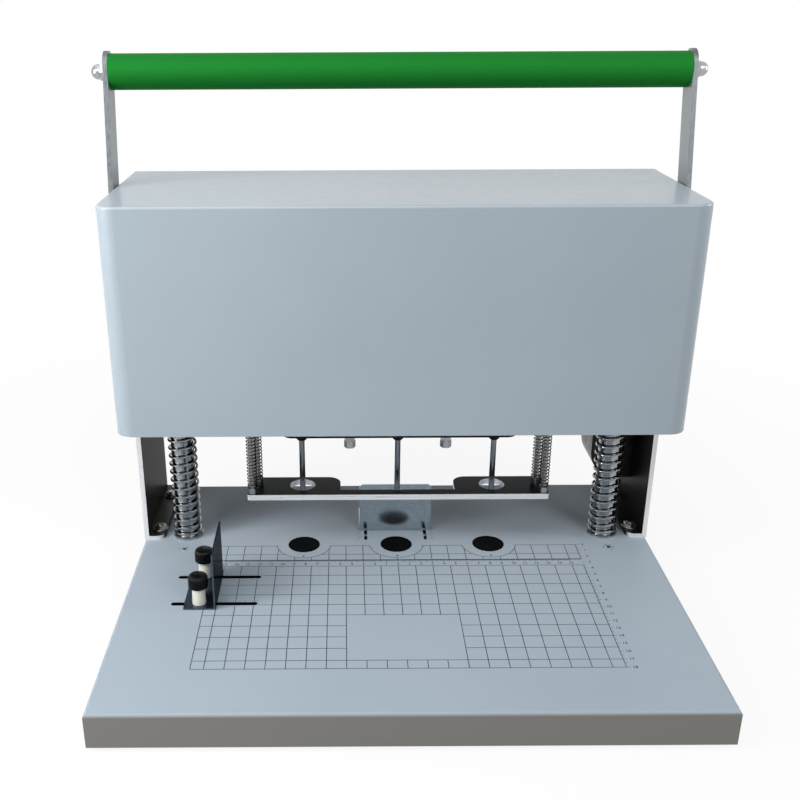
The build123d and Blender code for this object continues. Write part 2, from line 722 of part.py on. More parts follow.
def upright_bolt(x, y):
    """Flanged bolt through the foot of an upright."""
    washer_z = TABLE_Z + UPRIGHT_SHEET
    head_z = washer_z + WASHER_HEIGHT
    end_z = upright_nut_z - OVERCUT
    bolt = prism_z(x, y, end_z, washer_z, corners_on(BOLT_RADIUS, SCREW_SIDES))
    bolt += prism_z(x, y, washer_z, head_z, corners_on(WASHER_RADIUS, SEAT_SIDES))
    return bolt + prism_z(x, y, head_z, head_z + BOLT_HEAD_HEIGHT, corners_on(BOLT_HEAD_RADIUS, SCREW_SIDES))


def upright_nut(x, y):
    nut = prism_z(x, y, upright_nut_z, tray_inside_z, corners_on(BOLT_HEAD_RADIUS, SCREW_SIDES))
    return nut - hole_z(x, y, upright_nut_z, tray_inside_z, BOLT_RADIUS + RUNNING_FIT, SCREW_SIDES)


def base_fasteners():
    pieces = [table_screw(x, y) for x, y in screw_places()]
    for x, y in bolt_places():
        pieces += [upright_bolt(x, y), upright_nut(x, y)]
    return pieces


def pivot_bearing(side):
    x0, x1 = sorted((side * (upright_inner_x - PIVOT_BUSH_RISE), side * upright_outer_x))
    solid = prism_x(x0, x1, pivot_y, pivot_z, corners_on(PIVOT_BUSH_RADIUS, SMOOTH_SIDES))
    return solid - rod_x(x0 - OVERCUT, x1 + OVERCUT, pivot_y, pivot_z, SHAFT_RADIUS + RUNNING_FIT)


def top_brace():
    z0 = upright_top_z - BRACE_HEIGHT
    y0 = brace_front_y
    y1 = brace_front_y + BRACE_DEPTH
    channel = block(-upright_inner_x, upright_inner_x, y0, y1, z0, upright_top_z)
    inside_x = upright_inner_x + OVERCUT
    inside_z = upright_top_z - BRACE_SHEET
    return channel - block(-inside_x, inside_x, y0 + BRACE_SHEET, y1 - BRACE_SHEET, z0 - OVERCUT, inside_z)


# Cover
def panel_screw_places():
    panel_screw_x = upright_outer_x - REAR_FLANGE / 2
    return [(side * panel_screw_x, z) for side in (-1, 1) for z in panel_screw_zs]


def cover():
    outer = block(-cover_outer_x, cover_outer_x, cover_front_y, cover_back_y, cover_bottom_z, cover_top_z)
    front_corners = outer.edges().filter_by(Axis.Z).sort_by(Axis.Y)[:2]
    outer = fillet(front_corners, COVER_CORNER_RADIUS)
    top_edges = outer.faces().sort_by(Axis.Z)[-1].edges()
    top_edges = top_edges.filter_by(lambda edge: edge.center().Y < cover_back_y - COVER_EDGE_RADIUS)
    outer = fillet(top_edges, COVER_EDGE_RADIUS)
    inner_front = cover_front_y + COVER_SHEET
    inner_top = cover_top_z - COVER_SHEET
    inner_back = cover_back_y + OVERCUT
    inner_bottom = cover_bottom_z - OVERCUT
    inner = block(-cover_inner_x, cover_inner_x, inner_front, inner_back, inner_bottom, inner_top)
    inner = fillet(inner.edges().filter_by(Axis.Z).sort_by(Axis.Y)[:2], COVER_CORNER_RADIUS - COVER_SHEET)
    shell = outer - inner
    for side in (-1, 1):
        x0, x1 = sorted((side * cover_inner_x, side * cover_outer_x))
        shell -= hole_x(x0, x1, pivot_y, pivot_z, COVER_SHAFT_HOLE, SMOOTH_SIDES)
        for y, z in cover_screw_places:
            shell -= hole_x(x0, x1, y, z, COVER_SCREW_RADIUS + RUNNING_FIT, SCREW_SIDES)
    return shell


def cover_spacer(side, y, z):
    x0, x1 = sorted((side * upright_outer_x, side * cover_inner_x))
    spacer = prism_x(x0, x1, y, z, corners_on(COVER_SPACER_RADIUS, SCREW_SIDES))
    return spacer - hole_x(x0, x1, y, z, COVER_SCREW_RADIUS + RUNNING_FIT, SCREW_SIDES)


def cover_fasteners():
    pieces = []
    side_reach = cover_outer_x - upright_inner_x + OVERCUT
    side_screw = screw_up(COVER_SCREW_RADIUS, side_reach, COVER_SCREW_HEAD, COVER_SCREW_HEIGHT)
    rear_reach = PANEL_SHEET + UPRIGHT_SHEET + OVERCUT
    rear_screw = screw_up(COVER_SCREW_RADIUS, rear_reach, COVER_SCREW_HEAD, COVER_SCREW_HEIGHT)
    for side in (-1, 1):
        for y, z in cover_screw_places:
            pieces.append(cover_spacer(side, y, z))
            pieces.append(Pos(side * cover_outer_x, y, z) * Rot(0, side * 90, 0) * side_screw)
    for x, z in panel_screw_places():
        pieces.append(Pos(x, cover_back_y, z) * Rot(-90, 0, 0) * rear_screw)
    return pieces


def rear_panel():
    half_x = cover_inner_x - FREE_GAP
    z0 = cover_bottom_z + FREE_GAP
    z1 = cover_top_z - COVER_SHEET - FREE_GAP
    panel = block(-half_x, half_x, upright_back_y, cover_back_y, z0, z1)
    half_length = LOUVRE_LENGTH / 2
    cut_y0 = upright_back_y - OVERCUT
    cut_y1 = cover_back_y + OVERCUT
    first_z = (z0 + z1) / 2 - ((LOUVRE_COUNT - 1) * LOUVRE_PITCH + LOUVRE_HEIGHT) / 2
    for side in (-1, 1):
        x = side * LOUVRE_MIDDLE_X
        for row in range(LOUVRE_COUNT):
            z = first_z + row * LOUVRE_PITCH
            panel -= block(x - half_length, x + half_length, cut_y0, cut_y1, z, z + LOUVRE_HEIGHT)
    for x, z in panel_screw_places():
        panel -= hole_y(x, upright_back_y, cover_back_y, z, COVER_SCREW_RADIUS + RUNNING_FIT, SCREW_SIDES)
    return panel


# Electrical box
def electrical_box():
    box = block(box_inner_x, box_outer_x, box_front_y, box_back_y, box_bottom_z, box_top_z)
    inner_edges = box.edges().filter_by(Axis.Y).sort_by(Axis.X)[:2].sort_by(Axis.Z)
    box = fillet(inner_edges[0], BOX_LOWER_RADIUS)
    inner_edges = box.edges().filter_by(Axis.Y).group_by(Axis.Z)[-1].sort_by(Axis.X)
    box = fillet(inner_edges[0], BOX_UPPER_RADIUS)
    for z, width, height, depth in (
        (inlet_z, INLET_WIDTH, INLET_HEIGHT, INLET_DEPTH),
        (switch_z, SWITCH_WIDTH, SWITCH_HEIGHT, SWITCH_DEPTH),
    ):
        x0 = box_middle_x - width / 2
        z0 = z - height / 2
        box -= block(x0, x0 + width, box_back_y - depth, box_back_y + OVERCUT, z0, z0 + height)
    return box + switch_rim()


def switch_rim():
    x0 = box_middle_x - SWITCH_WIDTH / 2
    x1 = box_middle_x + SWITCH_WIDTH / 2
    z0 = switch_z - SWITCH_HEIGHT / 2
    z1 = switch_z + SWITCH_HEIGHT / 2
    rim_y = box_back_y + SWITCH_RIM
    rim = block(x0 - SWITCH_RIM, x1 + SWITCH_RIM, box_back_y, rim_y, z0 - SWITCH_RIM, z1 + SWITCH_RIM)
    return rim - block(x0, x1, box_back_y - OVERCUT, rim_y + OVERCUT, z0, z1)


def power_inlet():
    x0 = box_middle_x - INLET_WIDTH / 2
    x1 = box_middle_x + INLET_WIDTH / 2
    z0 = inlet_z - INLET_HEIGHT / 2
    z1 = inlet_z + INLET_HEIGHT / 2
    rim_y = box_back_y + INLET_FLANGE
    floor_y = rim_y - INLET_RECESS_DEPTH
    body = block(x0, x1, box_back_y - INLET_DEPTH, box_back_y, z0, z1)
    body += block(x0 - INLET_RIM, x1 + INLET_RIM, box_back_y, rim_y, z0 - INLET_RIM, z1 + INLET_RIM)
    body -= block(x0 + INLET_RIM, x1 - INLET_RIM, floor_y, rim_y + OVERCUT, z0 + INLET_RIM, z1 - INLET_RIM)
    for place in (-1, 0, 1):
        pin_x0 = box_middle_x + place * INLET_PIN_PITCH - INLET_PIN_WIDTH / 2
        pin_middle_z = inlet_z + (INLET_PIN_SHIFT if place == 0 else -INLET_PIN_SHIFT)
        pin_z0 = pin_middle_z - INLET_PIN_HEIGHT / 2
        pin_y1 = floor_y + INLET_PIN_LENGTH
        body += block(pin_x0, pin_x0 + INLET_PIN_WIDTH, floor_y, pin_y1, pin_z0, pin_z0 + INLET_PIN_HEIGHT)
    return body


def rocker_switch():
    half_width = SWITCH_WIDTH / 2 - FREE_GAP
    points = (
        (-ROCKER_DEPTH, -ROCKER_ROOT),
        (-ROCKER_DEPTH, ROCKER_ROOT),
        (ROCKER_RISE, ROCKER_RADIUS),
        (ROCKER_DIP, 0),
        (ROCKER_RISE, -ROCKER_RADIUS),
    )
    solid = extrude(Plane.YZ * make_face(Polyline(*points, close=True)), half_width, both=True)
    return Pos(box_middle_x, box_back_y + ROCKER_PIVOT, switch_z) * Rot(-SWITCH_TILT, 0, 0) * solid


# Carriage and gear case
def carriage_plate():
    half = plate_half_length
    z0 = carriage_z
    z1 = plate_top_z
    plate = plate_z(-half, half, plate_front_y, plate_back_y, z0, z1, PLATE_CORNER_RADIUS)
    shelf_half = gear_plate_half_length
    plate += block(-shelf_half, shelf_half, gear_plate_front_y, plate_motor_back_y, z0, z1)
    for side in (-1, 1):
        plate -= hole_z(side * column_x, column_y, z0, z1, BUSH_RADIUS + RUNNING_FIT, SMOOTH_SIDES)
        for y in rack_screw_ys():
            plate -= hole_z(side * rack_x, y, z0, z1, HEAD_SCREW_RADIUS + RUNNING_FIT, SCREW_SIDES)
    for x, y in clamp_places():
        plate -= hole_z(x, y, z0, z1, ROD_RADIUS + RUNNING_FIT, ROD_SIDES)
    for place in (-1, 0, 1):
        plate -= round_hole_z(place * DRILL_PITCH, drill_y, z0, z1, SPINDLE_RADIUS + RUNNING_FIT)
    for x, y, _ in axle_places():
        plate -= hole_z(x, y, z0, z1, AXLE_RADIUS + RUNNING_FIT, ROD_SIDES)
    return plate - hole_z(0, motor_y, z0, z1, MOTOR_BOSS_RADIUS + RUNNING_FIT, SMOOTH_SIDES)


def gear_plate():
    half = gear_plate_half_length
    z0 = gear_plate_z
    z1 = gear_plate_top_z
    plate = plate_z(-half, half, gear_plate_front_y, gear_plate_back_y, z0, z1, PLATE_CORNER_RADIUS)
    for place in (-1, 0, 1):
        plate -= hole_z(place * DRILL_PITCH, drill_y, z0, z1, BEARING_RADIUS + RUNNING_FIT, SEAT_SIDES)
    for x, y, _ in axle_places():
        plate -= hole_z(x, y, z0, z1, AXLE_RADIUS + RUNNING_FIT, ROD_SIDES)
    return plate


def carriage_bush(side):
    x = side * column_x
    z1 = bush_bottom_z + BUSH_HEIGHT + BUSH_FLANGE_HEIGHT
    solid = prism_z(x, column_y, bush_bottom_z, carriage_z, corners_on(BUSH_FLANGE_RADIUS, SMOOTH_SIDES))
    solid += prism_z(x, column_y, carriage_z, z1, corners_on(BUSH_RADIUS, SMOOTH_SIDES))
    return solid - round_hole_z(x, column_y, bush_bottom_z, z1, COLUMN_RADIUS + RUNNING_FIT)


def spindle_bearing(place):
    x = place * DRILL_PITCH
    z1 = gear_plate_top_z + BEARING_RISE
    solid = prism_z(x, drill_y, gear_plate_z, z1, corners_on(BEARING_RADIUS, SEAT_SIDES))
    return solid - round_hole_z(x, drill_y, gear_plate_z, z1, SPINDLE_RADIUS + RUNNING_FIT)


def axle_places():
    short_z = gear_plate_z - AXLE_HEAD_HEIGHT
    return (
        (-idler_x, drill_y, idler_axle_bottom_z),
        (idler_x, drill_y, idler_axle_bottom_z),
        (0, lay_y, short_z),
    )


def gear_axle(x, y, z0):
    head_z = z0 + AXLE_HEAD_HEIGHT
    axle = rod_z(x, y, head_z, plate_top_z, AXLE_RADIUS)
    axle += prism_z(x, y, z0, head_z, corners_on(AXLE_HEAD_RADIUS, SCREW_SIDES))
    if gear_plate_z > head_z:
        axle += prism_z(x, y, head_z, gear_plate_z, corners_on(AXLE_COLLAR_RADIUS, ROD_SIDES))
    return axle


def rack_screw_ys():
    first = rack_pitch_y + RACK_SCREW_FIRST
    return (first, first + RACK_SCREW_PITCH)


def rack(side):
    x0 = side * rack_x - RACK_FACE / 2
    pitch = math.pi * RACK_MODULE
    tooth_half = pitch / 4 * (1 - TOOTH_BACKLASH)
    slope = math.tan(PRESSURE_ANGLE)
    tip_half = tooth_half - RACK_MODULE * slope
    root_half = tooth_half + DEDENDUM * RACK_MODULE * slope
    tip_y = rack_pitch_y + RACK_MODULE
    root_y = rack_pitch_y - DEDENDUM * RACK_MODULE
    back_y = root_y - RACK_BACK
    top_z = pivot_z + STROKE + RACK_TOP_MARGIN + 2 * pitch
    below = math.ceil(RACK_TOP_MARGIN / pitch) + 1
    above = math.ceil((STROKE + RACK_TOP_MARGIN) / pitch) + 1
    points = [(back_y, plate_top_z), (root_y, plate_top_z)]
    for number in range(-below, above):
        centre = pivot_z + (number + 0.5) * pitch
        points += [
            (root_y, centre - root_half),
            (tip_y, centre - tip_half),
            (tip_y, centre + tip_half),
            (root_y, centre + root_half),
        ]
    points += [(root_y, top_z), (back_y, top_z)]
    bar = Pos(x0, 0, 0) * extrude(Plane.YZ * make_face(Polyline(*points, close=True)), RACK_FACE)
    foot_x0 = x0 - RACK_FOOT_RIM
    foot_x1 = x0 + RACK_FACE + RACK_FOOT_RIM
    foot_y1 = rack_pitch_y + RACK_FOOT_DEPTH
    foot_top_z = plate_top_z + RACK_FOOT_HEIGHT
    solid = bar + block(foot_x0, foot_x1, back_y, foot_y1, plate_top_z, foot_top_z)
    for y in rack_screw_ys():
        stem = HEAD_SCREW_RADIUS + RUNNING_FIT
        solid -= hole_z(side * rack_x, y, plate_top_z, foot_top_z, stem, SCREW_SIDES)
    return solid


def head_fasteners():
    outline = corners_on(SPACER_RADIUS, SCREW_SIDES)
    places = [(side * x, drill_y + setback) for side in (-1, 1) for x, setback in SPACER_PLACES]
    pieces = [prism_z(x, y, gear_plate_top_z, carriage_z, outline) for x, y in places]
    reach = RACK_FOOT_HEIGHT + PLATE_THICKNESS - OVERCUT
    screw = screw_up(HEAD_SCREW_RADIUS, reach, HEAD_SCREW_HEAD, HEAD_SCREW_HEIGHT)
    for side in (-1, 1):
        for y in rack_screw_ys():
            pieces.append(Pos(side * rack_x, y, plate_top_z + RACK_FOOT_HEIGHT) * screw)
    return pieces


def motor():
    z0 = plate_top_z
    z1 = z0 + MOTOR_HEIGHT
    bevel_z = z1 - MOTOR_BEVEL
    solid = prism_z(0, motor_y, carriage_z, z0, corners_on(MOTOR_BOSS_RADIUS, SMOOTH_SIDES))
    solid += prism_z(0, motor_y, z0, bevel_z, corners_on(MOTOR_RADIUS, SMOOTH_SIDES))
    solid += tapered_z(0, motor_y, bevel_z, z1, MOTOR_RADIUS, MOTOR_RADIUS - MOTOR_BEVEL, SMOOTH_SIDES)
    solid += prism_z(0, motor_y, z1, z1 + MOTOR_CAP_HEIGHT, corners_on(MOTOR_CAP_RADIUS, SEAT_SIDES))
    well = flats_on(MOTOR_SHAFT_RADIUS + FREE_GAP, SEAT_SIDES)
    return solid - prism_z(0, motor_y, carriage_z - OVERCUT, z0 + MOTOR_BOSS_HEIGHT, well)


# Turning parts of the gear train
def spindle(place, phase):
    x = place * DRILL_PITCH
    solid = spur_gear(x, drill_y, SPINDLE_TEETH, phase)
    return solid + rod_z(x, drill_y, chuck_top_z, plate_top_z + SPINDLE_TOP_REACH, SPINDLE_RADIUS)


def chuck(place):
    x = place * DRILL_PITCH
    cone_z = chuck_bottom_z + CHUCK_CONE
    solid = tapered_z(x, drill_y, chuck_bottom_z, cone_z, CHUCK_NOSE_RADIUS, CHUCK_RADIUS, SMOOTH_SIDES)
    solid += prism_z(x, drill_y, cone_z, chuck_top_z, corners_on(CHUCK_RADIUS, SMOOTH_SIDES))
    return solid - hole_z(x, drill_y, chuck_bottom_z, chuck_top_z, DRILL_RADIUS, ROD_SIDES)


def drill(place):
    x = place * DRILL_PITCH
    edge_z = drill_tip_z + DRILL_BEVEL
    solid = tapered_z(x, drill_y, drill_tip_z, edge_z, DRILL_EDGE, DRILL_RADIUS, ROD_SIDES)
    solid += prism_z(x, drill_y, edge_z, chuck_top_z, corners_on(DRILL_RADIUS, ROD_SIDES))
    return solid - hole_z(x, drill_y, drill_tip_z, chuck_top_z, DRILL_BORE, HEAD_SIDES)


def motor_pinion(phase):
    solid = spur_gear(0, motor_y, MOTOR_TEETH, phase)
    shaft_top_z = plate_top_z + MOTOR_BOSS_HEIGHT - OVERCUT
    return solid + rod_z(0, motor_y, gear_z, shaft_top_z, MOTOR_SHAFT_RADIUS)


# Clamp
def clamp_places():
    places = [(clamp_half_length - inset, drill_y + setback) for inset, setback in ROD_PLACES]
    return [(side * x, y) for side in (-1, 1) for x, y in places]


def clamp_plate():
    z0 = clamp_bottom_z
    z1 = clamp_top_z
    half = clamp_half_length
    plate = plate_z(-half, half, clamp_front_y, clamp_back_y, z0, z1, CLAMP_CORNER_RADIUS)
    arm_x = clamp_arm_x
    notch_y1 = clamp_back_y + OVERCUT
    plate -= block(-arm_x, arm_x, clamp_strip_back_y, notch_y1, z0 - OVERCUT, z1 + OVERCUT)
    near = CLAMP_CORNER_RADIUS
    arm_ends = plate.edges().filter_by(Axis.Z).filter_by(
        lambda edge: abs(abs(edge.center().X) - arm_x) < near and edge.center().Y > clamp_back_y - near
    )
    plate = fillet(arm_ends, CLAMP_ARM_RADIUS)
    for place in (-1, 0, 1):
        plate -= hole_z(place * DRILL_PITCH, drill_y, z0, z1, CLAMP_HOLE_RADIUS, SMOOTH_SIDES)
    for x, y in clamp_places():
        plate -= hole_z(x, y, z0, z1, ROD_RADIUS + RUNNING_FIT, ROD_SIDES)
    return plate


def clamp_rod(x, y):
    head_z = plate_top_z + FREE_GAP
    rod = prism_z(x, y, clamp_bottom_z, head_z, corners_on(ROD_RADIUS, ROD_SIDES))
    return rod + prism_z(x, y, head_z, head_z + ROD_HEAD_HEIGHT, corners_on(ROD_HEAD_RADIUS, HEAD_SIDES))


def clamp_nut(x, y):
    nut = prism_z(x, y, clamp_top_z, clamp_seat_z, corners_on(ROD_NUT_RADIUS, SCREW_SIDES))
    return nut - hole_z(x, y, clamp_top_z, clamp_seat_z, ROD_RADIUS + RUNNING_FIT, SCREW_SIDES)


def clamp_springs():
    z0 = clamp_seat_z + FREE_GAP
    z1 = carriage_z - FREE_GAP
    spring = coil_spring("clamp spring", CLAMP_COIL_RADIUS, CLAMP_WIRE, z0, z1, CLAMP_TURNS)
    return [Pos(x, y, 0) * spring for x, y in clamp_places()]


# Hand lever
def arm(side):
    x0, x1 = sorted((side * arm_inner_x, side * arm_outer_x))
    centres = arm_length + ARM_END_REACH - ARM_WIDTH / 2
    outline = Plane.YZ * Pos(0, centres / 2, 0) * Rot(0, 0, 90) * SlotCenterToCenter(centres, ARM_WIDTH)
    bar = Rot(-math.degrees(arm_lean), 0, 0) * extrude(outline, ARM_THICKNESS)
    bar = Pos(x0, pivot_y, pivot_z) * bar
    drive = corners_on(SHAFT_SPIGOT + RUNNING_FIT, SCREW_SIDES)
    bar -= prism_x(x0 - OVERCUT, x1 + OVERCUT, pivot_y, pivot_z, drive)
    return bar - hole_x(x0, x1, handle_y, handle_z, TIE_RADIUS + RUNNING_FIT, ROD_SIDES)


def handle_tube():
    tube = rod_x(-arm_inner_x, arm_inner_x, handle_y, handle_z, HANDLE_RADIUS)
    bore_x = arm_inner_x + OVERCUT
    return tube - rod_x(-bore_x, bore_x, handle_y, handle_z, HANDLE_RADIUS - HANDLE_WALL)


def handle_plug(side):
    x0, x1 = sorted((side * arm_inner_x, side * (arm_inner_x - HANDLE_PLUG)))
    radius = HANDLE_RADIUS - HANDLE_WALL - RUNNING_FIT
    plug = prism_x(x0, x1, handle_y, handle_z, corners_on(radius, SEAT_SIDES))
    return plug - hole_x(x0, x1, handle_y, handle_z, TIE_RADIUS + RUNNING_FIT, ROD_SIDES)


def tie_rod():
    end = arm_outer_x + ACORN_HEX_HEIGHT
    return prism_x(-end, end, handle_y, handle_z, corners_on(TIE_RADIUS, ROD_SIDES))


def acorn_nut(side):
    nut = prism_z(0, 0, 0, ACORN_HEX_HEIGHT, corners_on(ACORN_RADIUS, SCREW_SIDES))
    for (low, low_share), (high, high_share) in zip(DOME_STEPS, DOME_STEPS[1:]):
        z0 = ACORN_HEX_HEIGHT + low * ACORN_DOME_HEIGHT
        z1 = ACORN_HEX_HEIGHT + high * ACORN_DOME_HEIGHT
        radii = (low_share * ACORN_DOME_RADIUS, high_share * ACORN_DOME_RADIUS)
        nut += tapered_z(0, 0, z0, z1, *radii, ROD_SIDES)
    bore = flats_on(TIE_RADIUS + RUNNING_FIT, ROD_SIDES)
    nut -= prism_z(0, 0, -OVERCUT, ACORN_HEX_HEIGHT + RUNNING_FIT, bore)
    return Pos(side * arm_outer_x, handle_y, handle_z) * Rot(0, side * 90, 0) * nut


def pivot_cap(side):
    cap = prism_z(0, 0, 0, CAP_HEAD_HEIGHT, corners_on(CAP_HEAD_RADIUS, SEAT_SIDES))
    cap += prism_z(0, 0, -CAP_STEM_LENGTH, 0, corners_on(CAP_STEM_RADIUS, SCREW_SIDES))
    return Pos(side * arm_outer_x, pivot_y, pivot_z) * Rot(0, side * 90, 0) * cap


def cross_shaft():
    end = arm_outer_x
    solid = prism_x(-end, end, pivot_y, pivot_z, corners_on(SHAFT_SPIGOT, SCREW_SIDES))
    solid += rod_x(-arm_inner_x, arm_inner_x, pivot_y, pivot_z, SHAFT_RADIUS)
    for side in (-1, 1):
        x0, x1 = sorted((side * (end - CAP_STEM_LENGTH), side * end))
        solid -= hole_x(x0, x1, pivot_y, pivot_z, CAP_STEM_RADIUS + RUNNING_FIT, SCREW_SIDES)
    return solid


def rack_pinion(side):
    x0 = side * rack_x - RACK_FACE / 2
    x1 = x0 + RACK_FACE
    outline = gear_outline(RACK_PINION_TEETH, RACK_MODULE, math.pi)
    gear = Pos(x0, pivot_y, pivot_z) * extrude(Plane.YZ * outline, RACK_FACE)
    return gear - hole_x(x0, x1, pivot_y, pivot_z, SHAFT_RADIUS + RUNNING_FIT, SMOOTH_SIDES)


# Gauges
def side_gauge():
    x0 = side_gauge_x - SIDE_GAUGE_FOOT
    x1 = side_gauge_x
    y0 = side_gauge_front_y
    y1 = side_gauge_back_y
    solid = block(x1 - GAUGE_SHEET, x1, y0, y1, gauge_foot_z, TABLE_Z + SIDE_GAUGE_HEIGHT)
    solid += block(x0, x1, y0, y1, gauge_foot_z, gauge_foot_top_z)
    for y in side_screw_ys:
        stud = STUD_RADIUS + RUNNING_FIT
        solid -= hole_z(side_screw_x, y, gauge_foot_z, gauge_foot_top_z, stud, HEAD_SIDES)
    return solid


def gauge_post(y):
    z1 = gauge_foot_top_z + POST_HEIGHT
    post = tapered_z(side_screw_x, y, gauge_foot_top_z, z1, POST_RADIUS, POST_TOP_RADIUS, SEAT_SIDES)
    return post - hole_z(side_screw_x, y, gauge_foot_top_z, z1, STUD_RADIUS + RUNNING_FIT, HEAD_SIDES)


def table_nut(x, y, size_x, size_y, stud_radius):
    """Flat nut under a slot of the table."""
    x0 = x - size_x / 2
    y0 = y - size_y / 2
    z0 = slide_nut_z
    z1 = slide_nut_z + T_NUT_HEIGHT
    nut = block(x0, x0 + size_x, y0, y0 + size_y, z0, z1)
    return nut - hole_z(x, y, z0, z1, stud_radius + RUNNING_FIT, HEAD_SIDES)


def gauge_knob(y):
    z0 = gauge_foot_top_z + POST_HEIGHT + RUNNING_FIT
    bevel_z = z0 + KNOB_HEIGHT - KNOB_BEVEL
    cap = prism_z(side_screw_x, y, z0, bevel_z, corners_on(KNOB_RADIUS, KNOB_SIDES))
    top_radius = KNOB_RADIUS - KNOB_BEVEL
    cap += tapered_z(side_screw_x, y, bevel_z, z0 + KNOB_HEIGHT, KNOB_RADIUS, top_radius, KNOB_SIDES)
    return cap + prism_z(side_screw_x, y, slide_nut_z - OVERCUT, z0, corners_on(STUD_RADIUS, HEAD_SIDES))


def back_gauge():
    half = BACK_GAUGE_WIDTH / 2
    y0 = back_gauge_y
    wall = block(-half, half, y0, y0 + GAUGE_SHEET, gauge_foot_z, TABLE_Z + BACK_GAUGE_HEIGHT)
    wall = fillet(wall.edges().filter_by(Axis.Y).sort_by(Axis.Z)[-2:], BACK_GAUGE_RADIUS)
    solid = wall + block(-half, half, y0, y0 + BACK_GAUGE_FOOT, gauge_foot_z, gauge_foot_top_z)
    for side in (-1, 1):
        stud = BACK_STUD_RADIUS + RUNNING_FIT
        y = y0 + BACK_SCREW_OFFSET
        solid -= hole_z(side * BACK_SLOT_X, y, gauge_foot_z, gauge_foot_top_z, stud, HEAD_SIDES)
    return solid


def back_gauge_screws():
    pieces = []
    y = back_gauge_y + BACK_SCREW_OFFSET
    reach = gauge_foot_top_z - slide_nut_z + OVERCUT
    for side in (-1, 1):
        x = side * BACK_SLOT_X
        screw = prism_z(0, 0, -reach, 0, corners_on(BACK_STUD_RADIUS, HEAD_SIDES))
        screw += prism_z(0, 0, 0, BACK_SCREW_HEIGHT, corners_on(BACK_SCREW_HEAD, SEAT_SIDES))
        pieces.append(Pos(x, y, gauge_foot_top_z) * screw)
        pieces.append(table_nut(x, y, T_NUT_WIDTH, T_NUT_LENGTH, BACK_STUD_RADIUS))
    return pieces


os.makedirs("parts", exist_ok=True)

# Fixed frame
save("base_tray", base_tray())
save("bottom_plate", bottom_plate())
save("rubber_feet", *rubber_feet())
save("column_blocks", *both_sides(column_block))
save("guide_columns", *both_sides(guide_column))
save("column_collars", *both_sides(column_collar))
save("return_springs", *return_springs())
save("pad_bar", pad_bar())
save("cutting_pads", *[cutting_pad(place) for place in (-1, 0, 1)])
save("left_upright", upright(-1))
save("right_upright", upright(1))
save("base_fasteners", *base_fasteners())
save("pivot_bearings", *both_sides(pivot_bearing))
save("top_brace", top_brace())
save("cover", cover())
save("cover_fasteners", *cover_fasteners())
save("rear_panel", rear_panel())
save("electrical_box", electrical_box())
save("power_inlet", power_inlet())
save("rocker_switch", rocker_switch())

# Head
save("carriage_plate", carriage_plate())
save("gear_plate", gear_plate())
save("carriage_bushes", *both_sides(carriage_bush))
save("spindle_bearings", *[spindle_bearing(place) for place in (-1, 0, 1)])
save("idler_axles", *[gear_axle(x, y, z0) for x, y, z0 in axle_places()])
save("racks", *both_sides(rack))
save("head_fasteners", *head_fasteners())
save("motor", motor())
save("clamp_springs", *clamp_springs())

# Gear train, each gear in mesh with the one before it
centre_phase = 0.0
idler_phase = meshing_phase(centre_phase, SPINDLE_TEETH, IDLER_TEETH, 0.0)
outer_phase = meshing_phase(idler_phase, IDLER_TEETH, SPINDLE_TEETH, 0.0)
left_idler_phase = meshing_phase(centre_phase, SPINDLE_TEETH, IDLER_TEETH, math.pi)
left_outer_phase = meshing_phase(left_idler_phase, IDLER_TEETH, SPINDLE_TEETH, math.pi)
lay_phase = meshing_phase(centre_phase, SPINDLE_TEETH, LAY_TEETH, math.pi / 2)
motor_phase = meshing_phase(lay_phase, LAY_TEETH, MOTOR_TEETH, math.pi / 2)
spindle_phases = (("left", -1, left_outer_phase), ("centre", 0, centre_phase), ("right", 1, outer_phase))
for name, place, phase in spindle_phases:
    save(name + "_spindle", spindle(place, phase))
    save(name + "_chuck", chuck(place))
    save(name + "_drill", drill(place))
save("left_idler", idle_gear(-idler_x, drill_y, IDLER_TEETH, left_idler_phase))
save("right_idler", idle_gear(idler_x, drill_y, IDLER_TEETH, idler_phase))
save("lay_gear", idle_gear(0, lay_y, LAY_TEETH, lay_phase))
save("motor_pinion", motor_pinion(motor_phase))

# Clamp
save("clamp_plate", clamp_plate())
save("clamp_rods", *[clamp_rod(x, y) for x, y in clamp_places()])
save("clamp_nuts", *[clamp_nut(x, y) for x, y in clamp_places()])

# Hand lever
save("left_arm", arm(-1))
save("right_arm", arm(1))
save("handle_tube", handle_tube())
save("handle_plugs", *both_sides(handle_plug))
save("tie_rod", tie_rod())
save("lever_fasteners", *both_sides(acorn_nut), *both_sides(pivot_cap))
save("cross_shaft", cross_shaft())
save("rack_pinions", *both_sides(rack_pinion))

# Gauges
save("side_gauge", side_gauge())
save("gauge_posts", *[gauge_post(y) for y in side_screw_ys])
slide_nuts = [table_nut(side_screw_x, y, T_NUT_LENGTH, T_NUT_WIDTH, STUD_RADIUS) for y in side_screw_ys]
save("gauge_nuts", *slide_nuts)
save("front_knob", gauge_knob(side_screw_ys[0]))
save("rear_knob", gauge_knob(side_screw_ys[1]))
save("back_gauge", back_gauge())
save("back_gauge_screws", *back_gauge_screws())
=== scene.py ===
import json
import math

import bmesh
import bpy
from mathutils import Matrix, Vector

